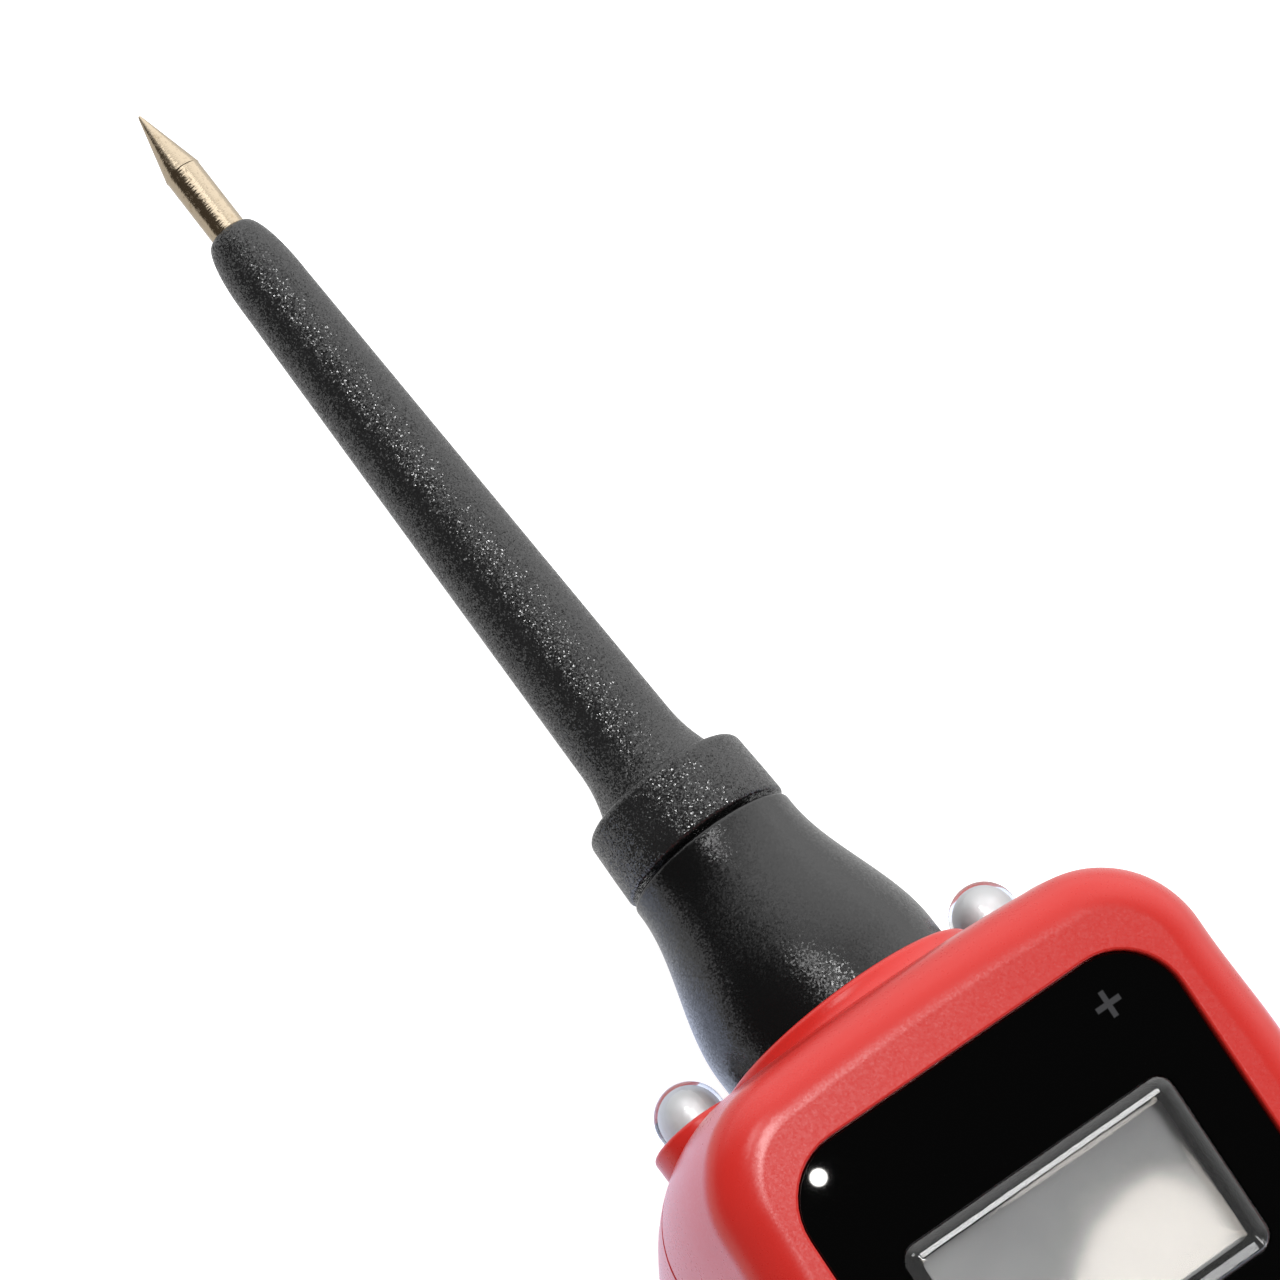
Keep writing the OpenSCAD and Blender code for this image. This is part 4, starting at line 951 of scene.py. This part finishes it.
for side, label in ((-1, "left"), (1, "right")):
    place = (side * LAMP_X, 0, 0)
    lamp = as_object("lamp_" + label, turned(lamp_profile, place, steps=72), 30)
    finished(lamp, lens_clear, ["headlight_" + label])
    core = as_object("lamp_core_" + label, turned(core_profile, place, steps=56), 30)
    finished(core, reflector)
    for number, z in ((1, -1.27), (2, 1.27)):
        pin = lamp_leg(f"lamp_leg_{label}_{number}", side * LAMP_X, z)
        finished(pin, tinned)

# %% [markdown]
# The rocker is a bar whose ends are arcs round its pivot, so that they stay clear of the opening as
# it tilts. A shallow saddle fits the thumb. Its side view is drawn once as a closed line, extruded
# across its width, and its edges are then bevelled.

# %% Rocker
PIVOT_Z, PIVOT_R, ROCKER_R, ROCKER_WIDTH, ROCKER_EDGE = GRIP_TOP - 4.6, 1.05, 10.0, 11.9, 0.4
END_LOW, END_HIGH, CROWN, SADDLE, SADDLE_HALF = -1.8, 6.9, 7.0, 1.3, 7.2
end_turns = math.asin(END_LOW / ROCKER_R), math.asin(END_HIGH / ROCKER_R)
turns = [between(*end_turns, k / 12) for k in range(13)]
end_arc = [(ROCKER_R * math.cos(a), ROCKER_R * math.sin(a)) for a in turns]
top_y = end_arc[-1][0] - 0.35
crown = []
for k in range(23):
    y = between(top_y, -top_y, k / 22)
    crown.append((y, CROWN - SADDLE * max(0.0, 1 - (y / SADDLE_HALF) ** 2)))
side_view = end_arc + crown + [(-y, z) for y, z in reversed(end_arc)]

shape = bmesh.new()
verts = [shape.verts.new(at(-ROCKER_WIDTH / 2, ROCKER_Y + y, PIVOT_Z + z)) for y, z in side_view]
edges = [shape.edges.new((verts[i - 1], verts[i])) for i in range(len(verts))]
face = bmesh.ops.edgeloop_fill(shape, edges=edges)["faces"]
grown = bmesh.ops.extrude_face_region(shape, geom=face)["geom"]
moved = [item for item in grown if isinstance(item, bmesh.types.BMVert)]
bmesh.ops.translate(shape, vec=(ROCKER_WIDTH / 1000, 0, 0), verts=moved)
bmesh.ops.recalc_face_normals(shape, faces=shape.faces)
rim = [edge for edge in shape.edges if edge.calc_face_angle(0) > 1.2]
bmesh.ops.bevel(
    shape, geom=rim, offset=ROCKER_EDGE / 1000, offset_type="OFFSET", affect="EDGES",
    segments=4, profile=0.5, material=-1,
)
rocker = as_object("rocker_cap", shape)
hole = bore("pivot_hole", PIVOT_R, -8, 8, (0, ROCKER_Y, PIVOT_Z), (1, 0, 0), 48)
rocker = combined(rocker, [hole], "DIFFERENCE")
smoothed(rocker, 30)
finished(rocker, rocker_black, ["rocker_button"], body="rocker")

# %% [markdown]
# The rubber inlet grips the tail wall between two flanges. It is one turned profile with rounded
# rims. The mouth flares a little, so that the supply lead isn't cut by a sharp edge.

# %% Cable inlet
profile = [(3.3, -1.6), (5.0, -1.6)] + arc((4.9, -1.1), 0.5, -90, 0, 6) + [(5.4, -0.1)]
profile += [(4.5, -0.1), (4.5, 2.7), (5.4, 2.7), (5.4, 4.3), (2.9, 4.3)]
profile += [(2.9, -1.0)] + arc((3.3, -1.1), 0.5, 180, 270, 5)[1:-1] + [(3.3, -1.6)]
inlet = as_object("inlet_rubber_piece", turned(profile, (0, TAIL_Y, INLET_Z)), 30)
finished(inlet, inlet_rubber, ["cable_inlet"])

# %% [markdown]
# Every CAD piece that keeps its own mesh gets its finish here. The name of the piece decides it.

# %% Finishes of the CAD pieces
cad_finishes = {
    "lcd_panel": cell_grey, "lcd_backlight": diffuser_white, "lcd_frame": frame_dark,
    "lcd_flex": film_amber, "circuit_board": board_green, "controller_chip": chip_black,
    "buzzer": chip_black, "thermal_breaker": breaker_brown, "terminal_block": terminal_green,
    "light_pipe_plus": lens_clear, "light_pipe_minus": lens_clear, "indicator_led_plus": red_lamp,
    "indicator_led_minus": green_lamp, "tip_socket": brass, "contact_strap": tinned,
    "rocker_frame": frame_black, "rocker_pin": zinc, "contact_leaf_front": bronze,
    "contact_leaf_rear": bronze, "housing_screws": zinc, "board_screws": zinc,
}
for name, finish in cad_finishes.items():
    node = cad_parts[name]
    if not node.material_slots:
        node.data.materials.append(finish.material)
    for slot in node.material_slots:
        slot.material = finish.material
print(len(cad_finishes), "CAD pieces finished")

# %% [markdown]
# The tester lies on a plain pale table under soft light. The floor is a large plane just below it, and
# the camera sees it evenly pale. A mirrored ray sees other levels, as the gloss of the real tester
# shows them: darker far out on the left, brighter on the right, and lilac near the left wall.

# %% Floor
FLOOR_HALF, FLOOR_DROP = 3, 0.0001
BLACK, PAPER, SEEN = (0, 0, 0), (0.9, 0.9, 0.9), (0.75, 0.75, 0.75)
LILAC, NEUTRAL = (1.9, 2.08, 2.6), (1.45, 1.45, 1.45)

floor_shape = bmesh.new()
bmesh.ops.create_grid(floor_shape, x_segments=1, y_segments=1, size=FLOOR_HALF)
bmesh.ops.translate(floor_shape, vec=(0, 0, -FLOOR_DROP), verts=floor_shape.verts)
floor = as_object("floor", floor_shape)
floor_white = Finish("floor_white", PAPER, 0.8, Specular_IOR_Level=0.0, Emission_Strength=1.0)
path = floor_white.add("ShaderNodeLightPath")
mirrored = path.out("Is Glossy Ray").high(path.out("Is Transmission Ray"))
floor_x, floor_y, _ = floor_white.place()
shine = 0.58 + floor_x.fade(10, 70) * 0.25 - (-floor_x).fade(60, 220) * 0.52
beyond = (floor_y + floor_x * 0.5).fade(4, 14).high((-floor_x).fade(36, 56))
tint = floor_white.mix(beyond, LILAC, NEUTRAL)
glow = floor_white.mix(mirrored, BLACK, floor_white.mix(shine, BLACK, tint))
floor_white.set("Base Color", floor_white.mix(mirrored, PAPER, BLACK))
floor_white.set("Emission Color", floor_white.mix(path.out("Is Camera Ray"), glow, SEEN))
floor_white.material.cycles.emission_sampling = "NONE"
floor.data.materials.append(floor_white.material)
print("floor:", FLOOR_HALF * 2, "m wide")

# %% [markdown]
# The reflections in the photograph tell what stood round the tester. A broad white screen fills the
# side beyond the tip and to the right, with a soft border that runs across the sky. The rest of the
# sky is dark, so the overlay and a stripe along the sleeve and the tip stay dark. The world that
# lights the diffuse surfaces is more even, but it leans the same way.

# %% World
world = bpy.data.worlds.new("world")
bpy.context.scene.world = world
world.use_nodes = True
sky = Finish("sky_helper", (1, 1, 1), 1.0)
sky.tree = world.node_tree
direction = sky.add("ShaderNodeTexCoord").out("Generated")
toward = sky.add("ShaderNodeSeparateXYZ", None, {0: direction})
toward_screen = toward.out("X") * 0.68 + toward.out("Y") * 0.73
ray = sky.add("ShaderNodeLightPath")
glossy = ray.out("Is Glossy Ray")
screen_level = 0.03 + toward_screen.fade(0.02, 0.8) * 1.85
plain_level = 0.18 + toward_screen.fade(-0.7, 0.9) * 0.32
level = screen_level * glossy + (1 - glossy) * plain_level
level = level.high(ray.out("Is Camera Ray")).high(ray.out("Is Transmission Ray") * 0.9)
sky.link(level, sky.tree.nodes["Background"].inputs["Color"])
bpy.data.materials.remove(sky.material)
world.cycles.sampling_method = "NONE"
print("world:", len(world.node_tree.nodes), "nodes")

# %% [markdown]
# Four soft panels shape the tester, but they stay out of the reflections, which the world gives. A
# lamp beyond the nose makes the facets glitter along the sleeve. A long narrow lamp overhead draws
# the bright line where the face begins to round. The tip, whose polish would show every lamp, is
# left out of both and has a screen of its own, and one lamp lights the bevel of the window alone. Two
# small ones are only there for their reflections: a spot in the overlay and a glow in the window.

# %% Lamps
def panel(name, place, aim, size, power, color=(1, 1, 1), turn=0):
    """An area lamp of that size, in metres and watts, turned in its own plane by degrees."""
    data = bpy.data.lights.new(name, "AREA")
    data.shape, data.size, data.size_y = "RECTANGLE", *size
    data.energy, data.color = power, color
    lamp = bpy.data.objects.new(name, data)
    bpy.context.scene.collection.objects.link(lamp)
    lamp.location = place
    lamp.rotation_mode = "QUATERNION"
    spin = Quaternion((0, 0, 1), math.radians(turn))
    lamp.rotation_quaternion = (Vector(aim) - Vector(place)).to_track_quat("-Z", "Y") @ spin
    return lamp


middle = (0, 0.02, 0.02)
for lamp in (
    panel("left_panel", (-0.75, -0.10, 0.55), middle, (0.5, 0.9), 0.4),
    panel("right_panel", (0.80, 0.45, 0.60), middle, (0.4, 0.9), 2.6),
    panel("rear_panel", (-0.15, -0.95, 0.75), middle, (0.9, 0.4), 1.3),
    panel("front_panel", (0.10, 0.95, 0.70), middle, (0.8, 0.4), 2.6),
):
    lamp.visible_glossy = False
glitter = panel("glitter_lamp", (-0.12, 0.38, 0.95), (0, 0.06, 0.013), (0.2, 0.2), 1.1)
edge = panel("edge_lamp", (0.14, -0.05, 1.21), middle, (0.5, 0.05), 6.2, turn=45)
tip_screen = panel("tip_screen", (-0.01, 0.46, 0.93), (0, 0.098, 0.013), (1.3, 0.39), 2.8, turn=-43)
window_edge = panel("window_edge_lamp", (0.30, 0.02, 0.95), on_face(0, 8.7, 0), (0.30, 0.12), 1.8)


def linked(lamp, piece, state="INCLUDE"):
    """Lets a lamp light one piece alone, or with EXCLUDE every piece but that one."""
    lit = bpy.data.collections.new(lamp.name + "_lights")
    lit.objects.link(piece)
    lit.collection_objects[0].light_linking.link_state = state
    lamp.light_linking.receiver_collection = lit


linked(glitter, tip, "EXCLUDE")
linked(edge, tip, "EXCLUDE")
linked(tip_screen, tip)
linked(window_edge, window)

MIRROR_REACH, WARM, CREAM = 0.6, (1, 0.97, 0.93), (1, 0.93, 0.84)
FACE_NORMAL = Vector((0, -math.sin(SLOPE), math.cos(SLOPE)))


def mirror_lamp(name, spot, size, power, color, piece):
    """A small lamp whose reflection in the sloping face, seen from the camera, sits at that spot."""
    seen = (spot - camera.location).normalized()
    away = seen - 2 * seen.dot(FACE_NORMAL) * FACE_NORMAL
    lamp = panel(name, spot + away * MIRROR_REACH, spot, size, power, color)
    lamp.data.shape = "ELLIPSE"
    linked(lamp, piece)


mirror_lamp("overlay_glint", on_face(-12.6, 1.67, -0.4), (0.0028, 0.0028), 0.0008, WARM, overlay)
mirror_lamp("window_glow", on_face(3.2, 19.6, -0.05), (0.032, 0.026), 0.016, CREAM, window)
print(len(bpy.data.lights), "lamps")

# %% [markdown]
# Last, the view transform is set to Standard, so that a colour renders as it was written.

# %% Finish
bpy.context.scene.view_settings.view_transform = "Standard"
